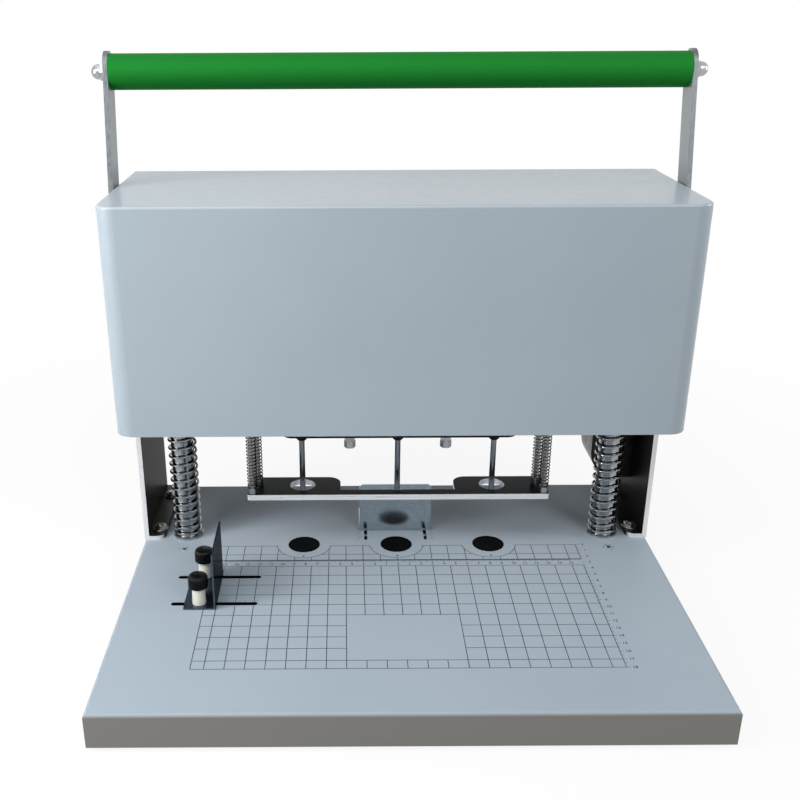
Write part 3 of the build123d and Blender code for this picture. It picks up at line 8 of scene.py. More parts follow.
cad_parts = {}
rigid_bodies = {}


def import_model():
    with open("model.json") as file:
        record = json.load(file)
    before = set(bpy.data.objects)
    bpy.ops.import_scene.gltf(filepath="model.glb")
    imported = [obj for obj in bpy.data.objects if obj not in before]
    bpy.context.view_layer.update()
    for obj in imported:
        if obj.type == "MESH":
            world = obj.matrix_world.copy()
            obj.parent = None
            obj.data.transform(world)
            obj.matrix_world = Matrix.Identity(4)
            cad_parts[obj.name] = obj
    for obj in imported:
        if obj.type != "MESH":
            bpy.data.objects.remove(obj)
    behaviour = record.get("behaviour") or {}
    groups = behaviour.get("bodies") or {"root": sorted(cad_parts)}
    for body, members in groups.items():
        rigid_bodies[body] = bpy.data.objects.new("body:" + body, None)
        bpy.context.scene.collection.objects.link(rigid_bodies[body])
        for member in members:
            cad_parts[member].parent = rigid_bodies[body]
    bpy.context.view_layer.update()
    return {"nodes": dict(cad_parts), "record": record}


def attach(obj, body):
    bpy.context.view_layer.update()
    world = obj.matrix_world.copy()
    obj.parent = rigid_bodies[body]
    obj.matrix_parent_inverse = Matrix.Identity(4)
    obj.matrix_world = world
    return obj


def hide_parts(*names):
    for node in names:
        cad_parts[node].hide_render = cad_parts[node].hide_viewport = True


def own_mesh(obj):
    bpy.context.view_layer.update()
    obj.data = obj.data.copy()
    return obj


# Electric three-hole paper drill, dressed in metres in the model's own frame
MM = 0.001

for old in list(bpy.data.objects):
    bpy.data.objects.remove(old)
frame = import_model()

# Photograph's frame and the camera fitted to it: pixels, degrees and millimetres
IMAGE_SIDE = 800.0
SENSOR = 36.0
FOCAL_PIXELS = 1018.6
CAMERA_YAW = 0.018
CAMERA_PITCH = 22.648
CAMERA_ROLL = -0.283
CAMERA_PLACE = (-45.34, -743.94, 487.35)
PRINCIPAL_POINT = (345.24, 419.62)
CLIP_NEAR = 0.01
CLIP_FAR = 50.0

# Sizes shared with the model, in millimetres
TABLE_Z = 32.0
TABLE_HALF_X = 227.0
TABLE_HALF_Y = 177.0
DRILL_Y = 57.0
DRILL_PITCH = 82.5
COLUMN_X = 189.0
COLUMN_Y = 78.0
GAUGE_X = -164.0
GAUGE_YS = (-39.0, 2.0)
BOTH_SIDES = (-1, 1)
THREE_PLACES = (-1, 0, 1)

# Mesh helpers
SMOOTH_ANGLE = math.radians(35.0)
TURNED_SIDES = 48
SMALL_SIDES = 24


def polygon(radius, sides, turn=0.0):
    steps = [turn + 2 * math.pi * step / sides for step in range(sides)]
    return [(radius * math.cos(angle), radius * math.sin(angle)) for angle in steps]


def moved(x, y, z):
    return Matrix.Translation(Vector((x, y, z)) * MM)


def pointing_x(x, y, z, side):
    return moved(x, y, z) @ Matrix.Rotation(side * math.pi / 2, 4, "Y")


def finish_mesh(name, mesh_data, material, body):
    mesh = bpy.data.meshes.new(name)
    mesh_data.to_mesh(mesh)
    mesh_data.free()
    piece = bpy.data.objects.new(name, mesh)
    bpy.context.scene.collection.objects.link(piece)
    mesh.materials.append(material)
    for face in mesh.polygons:
        face.use_smooth = True
    mesh.set_sharp_from_angle(angle=SMOOTH_ANGLE)
    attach(piece, body)
    return piece


def join_rings(mesh_data, low, high, count):
    """Adds the faces between two rings; a ring of one corner is a tip."""
    for step in range(count):
        following = (step + 1) % count
        corners = [low[step % len(low)], low[following % len(low)]]
        corners += [high[following % len(high)], high[step % len(high)]]
        unique = list(dict.fromkeys(corners))
        if len(unique) > 2:
            mesh_data.faces.new(unique)


def turned_ring(mesh_data, radius, height, matrix, sides):
    if radius <= 0:
        return [mesh_data.verts.new(matrix @ (Vector((0, 0, height)) * MM))]
    ring = []
    for x, y in polygon(radius, sides):
        ring.append(mesh_data.verts.new(matrix @ (Vector((x, y, height)) * MM)))
    return ring


def lathe(mesh_data, profile, matrix, sides=TURNED_SIDES):
    """Adds a turned body; the profile is (radius, height) pairs in millimetres along local Z."""
    rings = [turned_ring(mesh_data, radius, height, matrix, sides) for radius, height in profile]
    for low, high in zip(rings, rings[1:]):
        join_rings(mesh_data, low, high, sides)
    if len(rings[0]) > 2:
        mesh_data.faces.new(rings[0][::-1])
    if len(rings[-1]) > 2:
        mesh_data.faces.new(rings[-1])


def closed_lathe(mesh_data, profile, matrix, sides=TURNED_SIDES):
    """Adds a ring whose profile closes on itself."""
    rings = [turned_ring(mesh_data, radius, height, matrix, sides) for radius, height in profile]
    for low, high in zip(rings, rings[1:] + rings[:1]):
        join_rings(mesh_data, low, high, sides)


def outline_prism(mesh_data, outline, matrix, levels):
    """Adds a prism; levels are (height, inset) pairs in millimetres from the bottom up."""
    rings = []
    for height, inset in levels:
        ring = []
        for x, y in outline:
            reach = math.hypot(x, y)
            share = (reach - inset) / reach
            ring.append(mesh_data.verts.new(matrix @ (Vector((x * share, y * share, height)) * MM)))
        rings.append(ring)
    for low, high in zip(rings, rings[1:]):
        join_rings(mesh_data, low, high, len(outline))
    mesh_data.faces.new(rings[0][::-1])
    mesh_data.faces.new(rings[-1])


# Shader helpers
NOISE_LOW = 0.3
NOISE_HIGH = 0.7
LINE_DEPTH = 0.00005
GRAIN_DEPTH = 0.00008


def node(tree, kind, **values):
    made = tree.nodes.new(kind)
    for name, value in values.items():
        setattr(made, name, value)
    return made


def base_material(name):
    material = bpy.data.materials.new(name)
    material.use_nodes = True
    tree = material.node_tree
    return material, tree, tree.nodes["Principled BSDF"]


def object_point(tree, stretch=(1.0, 1.0, 1.0)):
    place = node(tree, "ShaderNodeTexCoord")
    mapping = node(tree, "ShaderNodeMapping")
    mapping.inputs["Scale"].default_value = stretch
    tree.links.new(place.outputs["Object"], mapping.inputs["Vector"])
    return mapping.outputs["Vector"]


def noise(tree, vector, scale, detail=4.0, roughness=0.55):
    made = node(tree, "ShaderNodeTexNoise")
    made.inputs["Scale"].default_value = scale
    made.inputs["Detail"].default_value = detail
    made.inputs["Roughness"].default_value = roughness
    tree.links.new(vector, made.inputs["Vector"])
    return made.outputs["Fac"]


def ranged(tree, value, low, high, out_low, out_high):
    made = node(tree, "ShaderNodeMapRange")
    made.inputs["From Min"].default_value = low
    made.inputs["From Max"].default_value = high
    made.inputs["To Min"].default_value = out_low
    made.inputs["To Max"].default_value = out_high
    tree.links.new(value, made.inputs["Value"])
    return made.outputs["Result"]


def spread(tree, value, out_low=0.0, out_high=1.0):
    """Widens a noise to the whole of a range."""
    return ranged(tree, value, NOISE_LOW, NOISE_HIGH, out_low, out_high)


def absolute(tree, value):
    made = node(tree, "ShaderNodeMath", operation="ABSOLUTE")
    tree.links.new(value, made.inputs[0])
    return made.outputs[0]


def product(tree, first, second):
    made = node(tree, "ShaderNodeMath", operation="MULTIPLY")
    tree.links.new(first, made.inputs[0])
    tree.links.new(second, made.inputs[1])
    return made.outputs[0]


def axes_of(tree, vector):
    parts = node(tree, "ShaderNodeSeparateXYZ")
    tree.links.new(vector, parts.inputs[0])
    return parts.outputs


def colour_mix(tree, share, first, second):
    """Mixes two colours, each a plain colour or another node's output."""
    made = node(tree, "ShaderNodeMix", data_type="RGBA")
    tree.links.new(share, made.inputs["Factor"])
    for socket, colour in (("A", first), ("B", second)):
        if isinstance(colour, tuple):
            made.inputs[socket].default_value = (*colour, 1.0)
        else:
            tree.links.new(colour, made.inputs[socket])
    return made.outputs["Result"]


def bumped(tree, shader, height, strength, distance):
    made = node(tree, "ShaderNodeBump")
    made.inputs["Strength"].default_value = strength
    made.inputs["Distance"].default_value = distance
    tree.links.new(height, made.inputs["Height"])
    tree.links.new(made.outputs["Normal"], shader.inputs["Normal"])


def set_specular(look, level, tint=1.0):
    """Sets how strongly a surface mirrors, and how much of that stays at a grazing view."""
    shader = look.node_tree.nodes["Principled BSDF"]
    shader.inputs["Specular IOR Level"].default_value = level
    shader.inputs["Specular Tint"].default_value = (tint, tint, tint, 1.0)


# Powder coat on the cover and the table: darker and lighter tone
COVER_COAT = ((0.360, 0.428, 0.484), (0.386, 0.456, 0.512))
TABLE_COAT = ((0.342, 0.404, 0.464), (0.366, 0.430, 0.490))
# Painted shade: the table's sides take a greyer tone than its top, though they are the same sheet.
SKIRT_SHADE_GREY = (0.305, 0.297, 0.280)
# Painted shade: black for the slot walls and the table's underside.
SLOT_SHADE_BLACK = (0.004, 0.004, 0.005)
COAT_CLOUDS = 6.0
COAT_SHINE_CLOUDS = 90.0
COAT_SHINE = (0.34, 0.42)
COAT_GRAIN = 1400.0
COAT_BUMP = 0.10
CLEAR_COAT = 0.30
CLEAR_COAT_SHINE = 0.12
TABLE_SPECULAR = 0.12
SKIRT_SHADE_TURN = (0.25, 0.75)
UNDER_SHEET = (0.10, 0.05)
INSIDE_RIM = (2.4, 2.3)


def powder_coat(name, tones):
    """Makes the coat's grain and gloss, and returns its clouded colour for the caller to link."""
    material, tree, shader = base_material(name)
    place = object_point(tree)
    colour = colour_mix(tree, spread(tree, noise(tree, place, COAT_CLOUDS, 3.0)), *tones)
    shine = spread(tree, noise(tree, place, COAT_SHINE_CLOUDS, 3.0), *COAT_SHINE)
    tree.links.new(shine, shader.inputs["Roughness"])
    bumped(tree, shader, noise(tree, place, COAT_GRAIN, 3.0), COAT_BUMP, GRAIN_DEPTH)
    shader.inputs["Coat Roughness"].default_value = CLEAR_COAT_SHINE
    return material, tree, shader, colour


def cover_sheet():
    material, tree, shader, colour = powder_coat("coated_sheet_look", COVER_COAT)
    tree.links.new(colour, shader.inputs["Base Color"])
    shader.inputs["Coat Weight"].default_value = CLEAR_COAT
    return material


def inside_share(tree):
    """One on the walls of the slots and under the table's sheet, where the black painted shade goes, nothing
    elsewhere.
    """
    place = node(tree, "ShaderNodeTexCoord")
    axes = axes_of(tree, place.outputs["Object"])
    low, high = [(TABLE_Z - depth) * MM for depth in UNDER_SHEET]
    share = ranged(tree, axes["Z"], low, high, 1.0, 0.0)
    for axis, half in (("X", TABLE_HALF_X), ("Y", TABLE_HALF_Y)):
        low, high = [(half - depth) * MM for depth in INSIDE_RIM]
        within = ranged(tree, absolute(tree, axes[axis]), low, high, 1.0, 0.0)
        share = product(tree, share, within)
    return share


def table_sheet():
    """The table's coat, with painted shade: a greyer skirt on the faces that don't face up, and black slot
    walls and underside.
    """
    material, tree, shader, colour = powder_coat("table_sheet_look", TABLE_COAT)
    geometry = node(tree, "ShaderNodeNewGeometry")
    upward = axes_of(tree, geometry.outputs["Normal"])["Z"]
    # Painted shade on the sides that don't face up.
    colour = colour_mix(tree, ranged(tree, upward, *SKIRT_SHADE_TURN, 1.0, 0.0), colour, SKIRT_SHADE_GREY)
    # Painted shade in the slots and under the sheet.
    colour = colour_mix(tree, inside_share(tree), colour, SLOT_SHADE_BLACK)
    tree.links.new(colour, shader.inputs["Base Color"])
    set_specular(material, TABLE_SPECULAR)
    return material


# Metals: dark and light tone, shine from smooth to rough, and the run of their lines
LINES_X = (0.04, 1.0, 1.0)
LINES_Z = (1.0, 1.0, 0.04)
EVEN = (1.0, 1.0, 1.0)
BRUSHED_BUMP = 0.12
BRUSHED_CLOUDS = 35.0
LINE_DETAIL = 5.0
LINE_ROUGHNESS = 0.65
# Bump and lines of the metals with painted light and shade by face direction.
LIT_SHADED_BUMP = 0.10
LIT_SHADED_LINES = 900.0
BROAD_TURN = (0.4, 0.8)


def brushed(name, dark, light, shine, stretch, scale, bump=BRUSHED_BUMP):
    """Metal with fine lines, long where the stretch is small."""
    material, tree, shader = base_material(name)
    lines = noise(tree, object_point(tree, stretch), scale, LINE_DETAIL, LINE_ROUGHNESS)
    clouds = noise(tree, object_point(tree), BRUSHED_CLOUDS, 3.0)
    tree.links.new(colour_mix(tree, spread(tree, lines), dark, light), shader.inputs["Base Color"])
    shader.inputs["Metallic"].default_value = 1.0
    tree.links.new(spread(tree, clouds, *shine), shader.inputs["Roughness"])
    bumped(tree, shader, lines, bump, LINE_DEPTH)
    return material


def lit_and_shaded_metal(name, axis, square, other, shine, stretch):
    """Metal with painted light and shade by the way a face points: one tone on faces square to the axis and
    another elsewhere, each (dark, light, metal).
    """
    material, tree, shader = base_material(name)
    lines = noise(tree, object_point(tree, stretch), LIT_SHADED_LINES, LINE_DETAIL, LINE_ROUGHNESS)
    share = spread(tree, lines)
    place = node(tree, "ShaderNodeTexCoord")
    size = absolute(tree, axes_of(tree, place.outputs["Normal"])[axis])
    broad = ranged(tree, size, *BROAD_TURN, 0.0, 1.0)
    edge_colour = colour_mix(tree, share, *other[:2])
    face_colour = colour_mix(tree, share, *square[:2])
    tree.links.new(colour_mix(tree, broad, edge_colour, face_colour), shader.inputs["Base Color"])
    tree.links.new(ranged(tree, broad, 0.0, 1.0, other[2], square[2]), shader.inputs["Metallic"])
    tree.links.new(spread(tree, lines, *shine), shader.inputs["Roughness"])
    bumped(tree, shader, lines, LIT_SHADED_BUMP, LINE_DEPTH)
    return material


# Painted light on the clamp plate, uprights and arms: the bright edge tone is a painted highlight, the dark
# tones are painted shade; each is (dark, light, metal).
EDGE_HIGHLIGHT = ((0.72, 0.73, 0.74), (0.86, 0.87, 0.88), 0.4)
CLAMP_TOP_SHADE = ((0.010, 0.011, 0.012), (0.024, 0.025, 0.027), 1.0)
UPRIGHT_FACE_SHADE = ((0.082, 0.082, 0.080), (0.108, 0.108, 0.106), 1.0)
ARM_FACE = ((0.24, 0.26, 0.27), (0.32, 0.34, 0.35), 0.55)
ARM_EDGE_SHADE = ((0.10, 0.11, 0.12), (0.19, 0.20, 0.21), 1.0)


# Clamp plate: painted shade on its top, painted highlight on its edges.
def clamp_steel():
    look = lit_and_shaded_metal("clamp_steel_look", "Z", CLAMP_TOP_SHADE, EDGE_HIGHLIGHT, (0.24, 0.40), LINES_X)
    set_specular(look, 0.50, 0.70)
    return look


# Uprights: painted highlight on the front edges, painted shade on the other faces.
def upright_steel():
    look = lit_and_shaded_metal("plate_steel_look", "Y", EDGE_HIGHLIGHT, UPRIGHT_FACE_SHADE, (0.30, 0.38), LINES_Z)
    set_specular(look, 0.50, 0.35)
    return look


# Arms: painted shade on the faces that don't point sideways, the sides in the steel's tone.
def arm_steel():
    return lit_and_shaded_metal("arm_steel_look", "X", ARM_FACE, ARM_EDGE_SHADE, (0.34, 0.50), LINES_Z)


def bright_plate():
    dark = (0.40, 0.44, 0.46)
    light = (0.54, 0.59, 0.61)
    return brushed("bright_plate_look", dark, light, (0.13, 0.24), EVEN, 400.0, 0.03)


# Painted reflection: the side gauge gets a darker, bluer copy of the bright plate, standing for the
# blue-grey table it mirrors.
def tinted_reflection_plate():
    dark = (0.120, 0.146, 0.186)
    light = (0.160, 0.190, 0.236)
    look = brushed("side_plate_look", dark, light, (0.18, 0.26), EVEN, 400.0, 0.03)
    set_specular(look, 0.50, 0.15)
    return look


def machined_steel():
    return brushed("machined_steel_look", (0.32, 0.33, 0.34), (0.46, 0.47, 0.48), (0.24, 0.38), EVEN, 500.0)


def dark_steel():
    return brushed("dark_steel_look", (0.18, 0.18, 0.185), (0.34, 0.34, 0.345), (0.16, 0.28), EVEN, 600.0)


def polished_nut():
    dark = (0.34, 0.35, 0.36)
    light = (0.46, 0.47, 0.48)
    return brushed("polished_nut_look", dark, light, (0.12, 0.20), EVEN, 700.0, 0.02)


def spring_steel():
    dark = (0.22, 0.23, 0.24)
    light = (0.33, 0.34, 0.35)
    return brushed("spring_steel_look", dark, light, (0.14, 0.24), EVEN, 700.0, 0.05)


def dark_spring():
    dark = (0.008, 0.008, 0.008)
    light = (0.034, 0.034, 0.035)
    look = brushed("dark_spring_look", dark, light, (0.12, 0.22), EVEN, 900.0, 0.05)
    set_specular(look, 0.50, 0.45)
    return look


def chrome_column():
    dark = (0.26, 0.27, 0.28)
    light = (0.33, 0.34, 0.35)
    return brushed("chrome_column_look", dark, light, (0.10, 0.18), LINES_Z, 500.0, 0.04)


# Painted shade: dark grey-blue for the plugs that fill the screws' sockets.
def socket_shade_grey():
    return brushed("socket_grey_look", (0.10, 0.12, 0.15), (0.20, 0.23, 0.27), (0.30, 0.45), EVEN, 900.0)


def bronze():
    return brushed("bronze_look", (0.42, 0.27, 0.13), (0.56, 0.38, 0.19), (0.32, 0.46), EVEN, 800.0)


# Satin green tube, with fine lines along it
GREEN_DARK = (0.003, 0.155, 0.014)
GREEN_LIGHT = (0.005, 0.198, 0.020)
GREEN_METAL = 0.75
GREEN_SHINE = (0.68, 0.78)
GREEN_STRETCH = (0.03, 1.0, 1.0)
GREEN_LINES = 1500.0
GREEN_BUMP = 0.08


def green_anodised():
    material, tree, shader = base_material("green_anodised_look")
    lines = noise(tree, object_point(tree, GREEN_STRETCH), GREEN_LINES, 4.0, 0.6)
    colour = colour_mix(tree, spread(tree, lines), GREEN_DARK, GREEN_LIGHT)
    tree.links.new(colour, shader.inputs["Base Color"])
    shader.inputs["Metallic"].default_value = GREEN_METAL
    tree.links.new(spread(tree, lines, *GREEN_SHINE), shader.inputs["Roughness"])
    bumped(tree, shader, lines, GREEN_BUMP, LINE_DEPTH)
    return material


# Plastics, rubber, black paint and ink
PLASTIC_CLOUDS = 80.0
PLASTIC_SHINE_CLOUDS = 120.0
PLASTIC_GRAIN = 900.0
PLASTIC_BUMP = 0.15


def plastic(name, dark, light, shine, grain=PLASTIC_GRAIN, bump=PLASTIC_BUMP):
    material, tree, shader = base_material(name)
    place = object_point(tree)
    colour = colour_mix(tree, noise(tree, place, PLASTIC_CLOUDS), dark, light)
    tree.links.new(colour, shader.inputs["Base Color"])
    gloss = spread(tree, noise(tree, place, PLASTIC_SHINE_CLOUDS), *shine)
    tree.links.new(gloss, shader.inputs["Roughness"])
    bumped(tree, shader, noise(tree, place, grain), bump, GRAIN_DEPTH)
    return material


def dark_plate():
    dark = (0.008, 0.009, 0.010)
    light = (0.018, 0.019, 0.021)
    look = plastic("dark_plate_look", dark, light, (0.30, 0.48), 1500.0, 0.08)
    set_specular(look, 0.15)
    return look


def black_plastic():
    return plastic("black_plastic_look", (0.002, 0.002, 0.003), (0.006, 0.006, 0.007), (0.26, 0.40))


def white_plastic():
    return plastic("white_plastic_look", (0.66, 0.64, 0.56), (0.74, 0.72, 0.64), (0.34, 0.48))


def motor_case():
    return plastic("motor_case_look", (0.025, 0.028, 0.031), (0.040, 0.043, 0.047), (0.38, 0.52))


def rubber():
    return plastic("rubber_look", (0.010, 0.010, 0.010), (0.022, 0.022, 0.022), (0.62, 0.80))


def pad_black():
    look = plastic("pad_black_look", (0.0010, 0.0014, 0.0018), (0.0030, 0.0036, 0.0042), (0.75, 0.90))
    set_specular(look, 0.03)
    return look


def cap_black():
    look = plastic("cap_black_look", (0.0015, 0.0015, 0.002), (0.004, 0.004, 0.005), (0.20, 0.32))
    set_specular(look, 0.14)
    return look


def print_ink():
    return plastic("print_ink_look", (0.010, 0.018, 0.036), (0.024, 0.034, 0.056), (0.50, 0.65))


# Materials on the model's own nodes, by slot and then by name
slot_looks = {
    "coated_sheet": cover_sheet(),
    "dark_plate": dark_plate(),
    "bright_plate": bright_plate(),
    "clamp_steel": clamp_steel(),
    "plate_steel": upright_steel(),
    "arm_steel": arm_steel(),
    "machined_steel": machined_steel(),
    "spring_steel": spring_steel(),
    "dark_spring": dark_spring(),
    "chrome_column": chrome_column(),
    "bronze": bronze(),
    "green_anodised": green_anodised(),
    "black_plastic": black_plastic(),
    "white_plastic": white_plastic(),
    "motor_case": motor_case(),
    "rubber": rubber(),
}
node_looks = {
    "base_tray": table_sheet(),
    "left_arm": slot_looks["arm_steel"],
    "right_arm": slot_looks["arm_steel"],
    "side_gauge": tinted_reflection_plate(),
}
slots = {row["node"]: row["material_slot"] for row in frame["record"]["subparts"]}
for name, cad_node in frame["nodes"].items():
    cad_node.data.materials.clear()
    cad_node.data.materials.append(node_looks.get(name) or slot_looks[slots[name]])

# Springs, as round wire with closed ends
RETURN_Z0 = 34.3
RETURN_Z1 = 161.7
RETURN_RADIUS = 11.6
RETURN_WIRE = 2.3
RETURN_TURNS = 17.5
RETURN_STEPS = 36
RETURN_SIDES = 10
CLAMP_SPRING_Z0 = 96.8
CLAMP_SPRING_Z1 = 167.7
CLAMP_SPRING_RADIUS = 3.95
CLAMP_SPRING_WIRE = 0.95
CLAMP_SPRING_TURNS = 24
CLAMP_SPRING_STEPS = 24
CLAMP_SPRING_SIDES = 8
CLAMP_SPRING_PLACES = ((125.0, 42.5), (121.5, 59.0))
CLOSED_TURNS = 1.0


def coil_height(turn, turns, height, wire):
    """Height of the wire's middle over its first turn."""
    open_pitch = (height - 2 * CLOSED_TURNS * wire) / (turns - 2 * CLOSED_TURNS)
    if turn < CLOSED_TURNS:
        return turn * wire
    if turn > turns - CLOSED_TURNS:
        return height - (turns - turn) * wire
    return CLOSED_TURNS * wire + (turn - CLOSED_TURNS) * open_pitch


def coil(mesh_data, x, y, z0, z1, radius, wire, turns, steps, sides):
    rings = []
    for step in range(int(turns * steps) + 1):
        turn = step / steps
        angle = 2 * math.pi * turn
        outward = Vector((math.cos(angle), math.sin(angle), 0))
        z = z0 + wire / 2 + coil_height(turn, turns, z1 - z0 - wire, wire)
        centre = Vector((x, y, z)) + outward * radius
        ring = []
        for across, up in polygon(wire / 2, sides):
            ring.append(mesh_data.verts.new((centre + outward * across + Vector((0, 0, up))) * MM))
        rings.append(ring)
    for low, high in zip(rings, rings[1:]):
        for side in range(sides):
            following = (side + 1) % sides
            mesh_data.faces.new((low[side], high[side], high[following], low[following]))
    mesh_data.faces.new(rings[0])
    mesh_data.faces.new(rings[-1][::-1])


def return_springs():
    springs = bmesh.new()
    for side in BOTH_SIDES:
        coil(springs, side * COLUMN_X, COLUMN_Y, RETURN_Z0, RETURN_Z1, RETURN_RADIUS, RETURN_WIRE,
             RETURN_TURNS, RETURN_STEPS, RETURN_SIDES)
    piece = finish_mesh("return_coils", springs, slot_looks["spring_steel"], "frame")
    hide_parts("return_springs")
    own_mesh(piece)


def clamp_springs():
    springs = bmesh.new()
    for side in BOTH_SIDES:
        for x, y in CLAMP_SPRING_PLACES:
            coil(springs, side * x, y, CLAMP_SPRING_Z0, CLAMP_SPRING_Z1, CLAMP_SPRING_RADIUS,
                 CLAMP_SPRING_WIRE, CLAMP_SPRING_TURNS, CLAMP_SPRING_STEPS, CLAMP_SPRING_SIDES)
    piece = finish_mesh("clamp_coils", springs, slot_looks["dark_spring"], "head")
    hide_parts("clamp_springs")
    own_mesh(piece)


return_springs()
clamp_springs()

# Printed measuring grid on the table
PRINT_Z = TABLE_Z + 0.06
GRID_TOP_Y = 54.0
GRID_STEP = 15.0
GRID_COLUMNS = 10
GRID_EDGE = 160.0
GRID_ROWS = (0.0, 15.0, 35.0, 50.0, 65.0, 80.0, 95.0, 110.0, 125.0, 140.0, 155.0, 170.0, 180.0)
LOWER_GRID_DEPTH = 35.0
RULER_Y = GRID_TOP_Y - 25.0
RULER_HALF = 150
THIN_LINE = 0.55
BOLD_LINE = 1.4
TICK_LINE = 0.36
FINE_TICK_LINE = 0.3
LONG_TICK = 4.0
MIDDLE_TICK = 3.0
SHORT_TICK = 2.2
FIGURE_SIZE = 4.2
FIGURE_SWELL = 0.05
RULER_FIGURE_DROP = 6.6
EDGE_RULER_LENGTH = 180
EDGE_RULER_STEP = 5
EDGE_LONG_TICK = 3.0
EDGE_SHORT_TICK = 1.8
EDGE_FIGURE_REACH = 6.5
LINE_SAMPLE = 0.5

# Places that the print leaves free
CLEAR_RADIUS = 24.0
WINDOW_HALF = 45.0
WINDOW_ROWS = (110.0, 170.0)
SIDE_SLOT_CLEAR = 2.9
SIDE_SLOT_START = -187.0
SIDE_SLOT_END = -116.5

# Arcs round the pads, with their pointers
ARC_STEPS = 40
ARC_START = 1.03
ARC_SWEEP = 0.94
POINTER_RISE = 1.6
POINTER_HALF = 1.4
POINTER_LENGTH = 2.4

# Scales beside the gauges' slots
BACK_SCALE_X = 31.5
BACK_SCALE_Y = 66.0
BACK_SCALE_STEP = 2.5
BACK_SCALE_TICKS = 9
BACK_LONG_TICK = 4.5
BACK_SHORT_TICK = 2.5
SIDE_SCALE_RISE = 3.0
SIDE_SCALE_STEP = 2.0
SIDE_SCALE_TICKS = 36
SIDE_LONG_TICK = 2.4
SIDE_SHORT_TICK = 1.3


def ink_strip(mesh_data, x0, y0, x1, y1, width):
    along = Vector((x1 - x0, y1 - y0, 0)).normalized()
    across = Vector((-along.y, along.x, 0)) * width / 2
    start = Vector((x0, y0, PRINT_Z))
    end = Vector((x1, y1, PRINT_Z))
    corners = (start - across, end - across, end + across, start + across)
    mesh_data.faces.new([mesh_data.verts.new(corner * MM) for corner in corners])


def printed_here(x, y):
    for place in THREE_PLACES:
        if math.hypot(x - place * DRILL_PITCH, y - DRILL_Y) < CLEAR_RADIUS:
            return False
    for slot_y in GAUGE_YS:
        if abs(y - slot_y) < SIDE_SLOT_CLEAR and x < SIDE_SLOT_END:
            return False
    in_window = WINDOW_ROWS[0] < GRID_TOP_Y - y < WINDOW_ROWS[1]
    return not (in_window and abs(x) < WINDOW_HALF)


def clipped_line(mesh_data, x0, y0, x1, y1, width):
    """Draws the stretches of the line that are on the printed area."""
    count = max(1, int(math.hypot(x1 - x0, y1 - y0) / LINE_SAMPLE))
    start = None
    for step in range(count + 1):
        x = x0 + (x1 - x0) * step / count
        y = y0 + (y1 - y0) * step / count
        inside = printed_here(x, y)
        if inside and start is None:
            start = (x, y)
        if start is not None and (not inside or step == count):
            if math.hypot(x - start[0], y - start[1]) > width:
                ink_strip(mesh_data, *start, x, y, width)
            start = None


def digits(mesh_data, text, x, y):
    """Adds plain figures that lie flat on the table, centred on the place."""
    curve = bpy.data.curves.new("figure", "FONT")
    curve.body = text
    curve.size = FIGURE_SIZE * MM
    curve.offset = FIGURE_SWELL * MM
    curve.align_x = "CENTER"
    curve.align_y = "CENTER"
    holder = bpy.data.objects.new("figure", curve)
    bpy.context.scene.collection.objects.link(holder)
    mesh = bpy.data.meshes.new_from_object(holder)
    mesh.transform(moved(x, y, PRINT_Z))
    mesh_data.from_mesh(mesh)
    bpy.data.objects.remove(holder)
    bpy.data.meshes.remove(mesh)
    bpy.data.curves.remove(curve)


def grid_lines(grid):
    bottom_y = GRID_TOP_Y - GRID_ROWS[-1]
    for row in GRID_ROWS:
        y = GRID_TOP_Y - row
        clipped_line(grid, -GRID_EDGE, y, GRID_EDGE, y, THIN_LINE)
    clipped_line(grid, -GRID_EDGE, RULER_Y, GRID_EDGE, RULER_Y, BOLD_LINE)
    columns = [GRID_STEP * step for step in range(-GRID_COLUMNS, GRID_COLUMNS + 1)]
    for x in columns + [-GRID_EDGE, GRID_EDGE]:
        clipped_line(grid, x, GRID_TOP_Y, x, RULER_Y, THIN_LINE)
        clipped_line(grid, x, GRID_TOP_Y - LOWER_GRID_DEPTH, x, bottom_y, THIN_LINE)


def wide_ruler(grid):
    for tick in range(-RULER_HALF, RULER_HALF + 1):
        length = LONG_TICK if tick % 10 == 0 else MIDDLE_TICK if tick % 5 == 0 else SHORT_TICK
        ink_strip(grid, tick, RULER_Y, tick, RULER_Y - length, TICK_LINE)
    for tick in range(-RULER_HALF, RULER_HALF + 1, 10):
        digits(grid, str(abs(tick) // 10), tick, RULER_Y - RULER_FIGURE_DROP)


def edge_ruler(grid):
    for tick in range(0, EDGE_RULER_LENGTH + 1, EDGE_RULER_STEP):
        y = GRID_TOP_Y - tick
        reach = EDGE_LONG_TICK if tick % 10 == 0 else EDGE_SHORT_TICK
        ink_strip(grid, GRID_EDGE, y, GRID_EDGE + reach, y, TICK_LINE)
        if tick % 10 == 0:
            digits(grid, str(tick // 10), GRID_EDGE + EDGE_FIGURE_REACH, y)


def pad_arc(grid, x):
    """Draws the lower arc round a pad and its pointer."""
    places = []
    for step in range(ARC_STEPS + 1):
        angle = math.pi * (ARC_START + ARC_SWEEP * step / ARC_STEPS)
        places.append((x + CLEAR_RADIUS * math.cos(angle), DRILL_Y + CLEAR_RADIUS * math.sin(angle)))
    for start, end in zip(places, places[1:]):
        ink_strip(grid, *start, *end, THIN_LINE)
    tip_y = DRILL_Y - CLEAR_RADIUS + POINTER_RISE
    base_y = tip_y + POINTER_LENGTH
    corners = ((x - POINTER_HALF, base_y), (x, tip_y), (x + POINTER_HALF, base_y))
    grid.faces.new([grid.verts.new(Vector((a, b, PRINT_Z)) * MM) for a, b in corners])


def back_scales(grid):
    for side in BOTH_SIDES:
        for step in range(BACK_SCALE_TICKS):
            y = BACK_SCALE_Y + step * BACK_SCALE_STEP
            reach = BACK_LONG_TICK if step % 4 == 0 else BACK_SHORT_TICK
            ink_strip(grid, side * BACK_SCALE_X, y, side * (BACK_SCALE_X + reach), y, FINE_TICK_LINE)


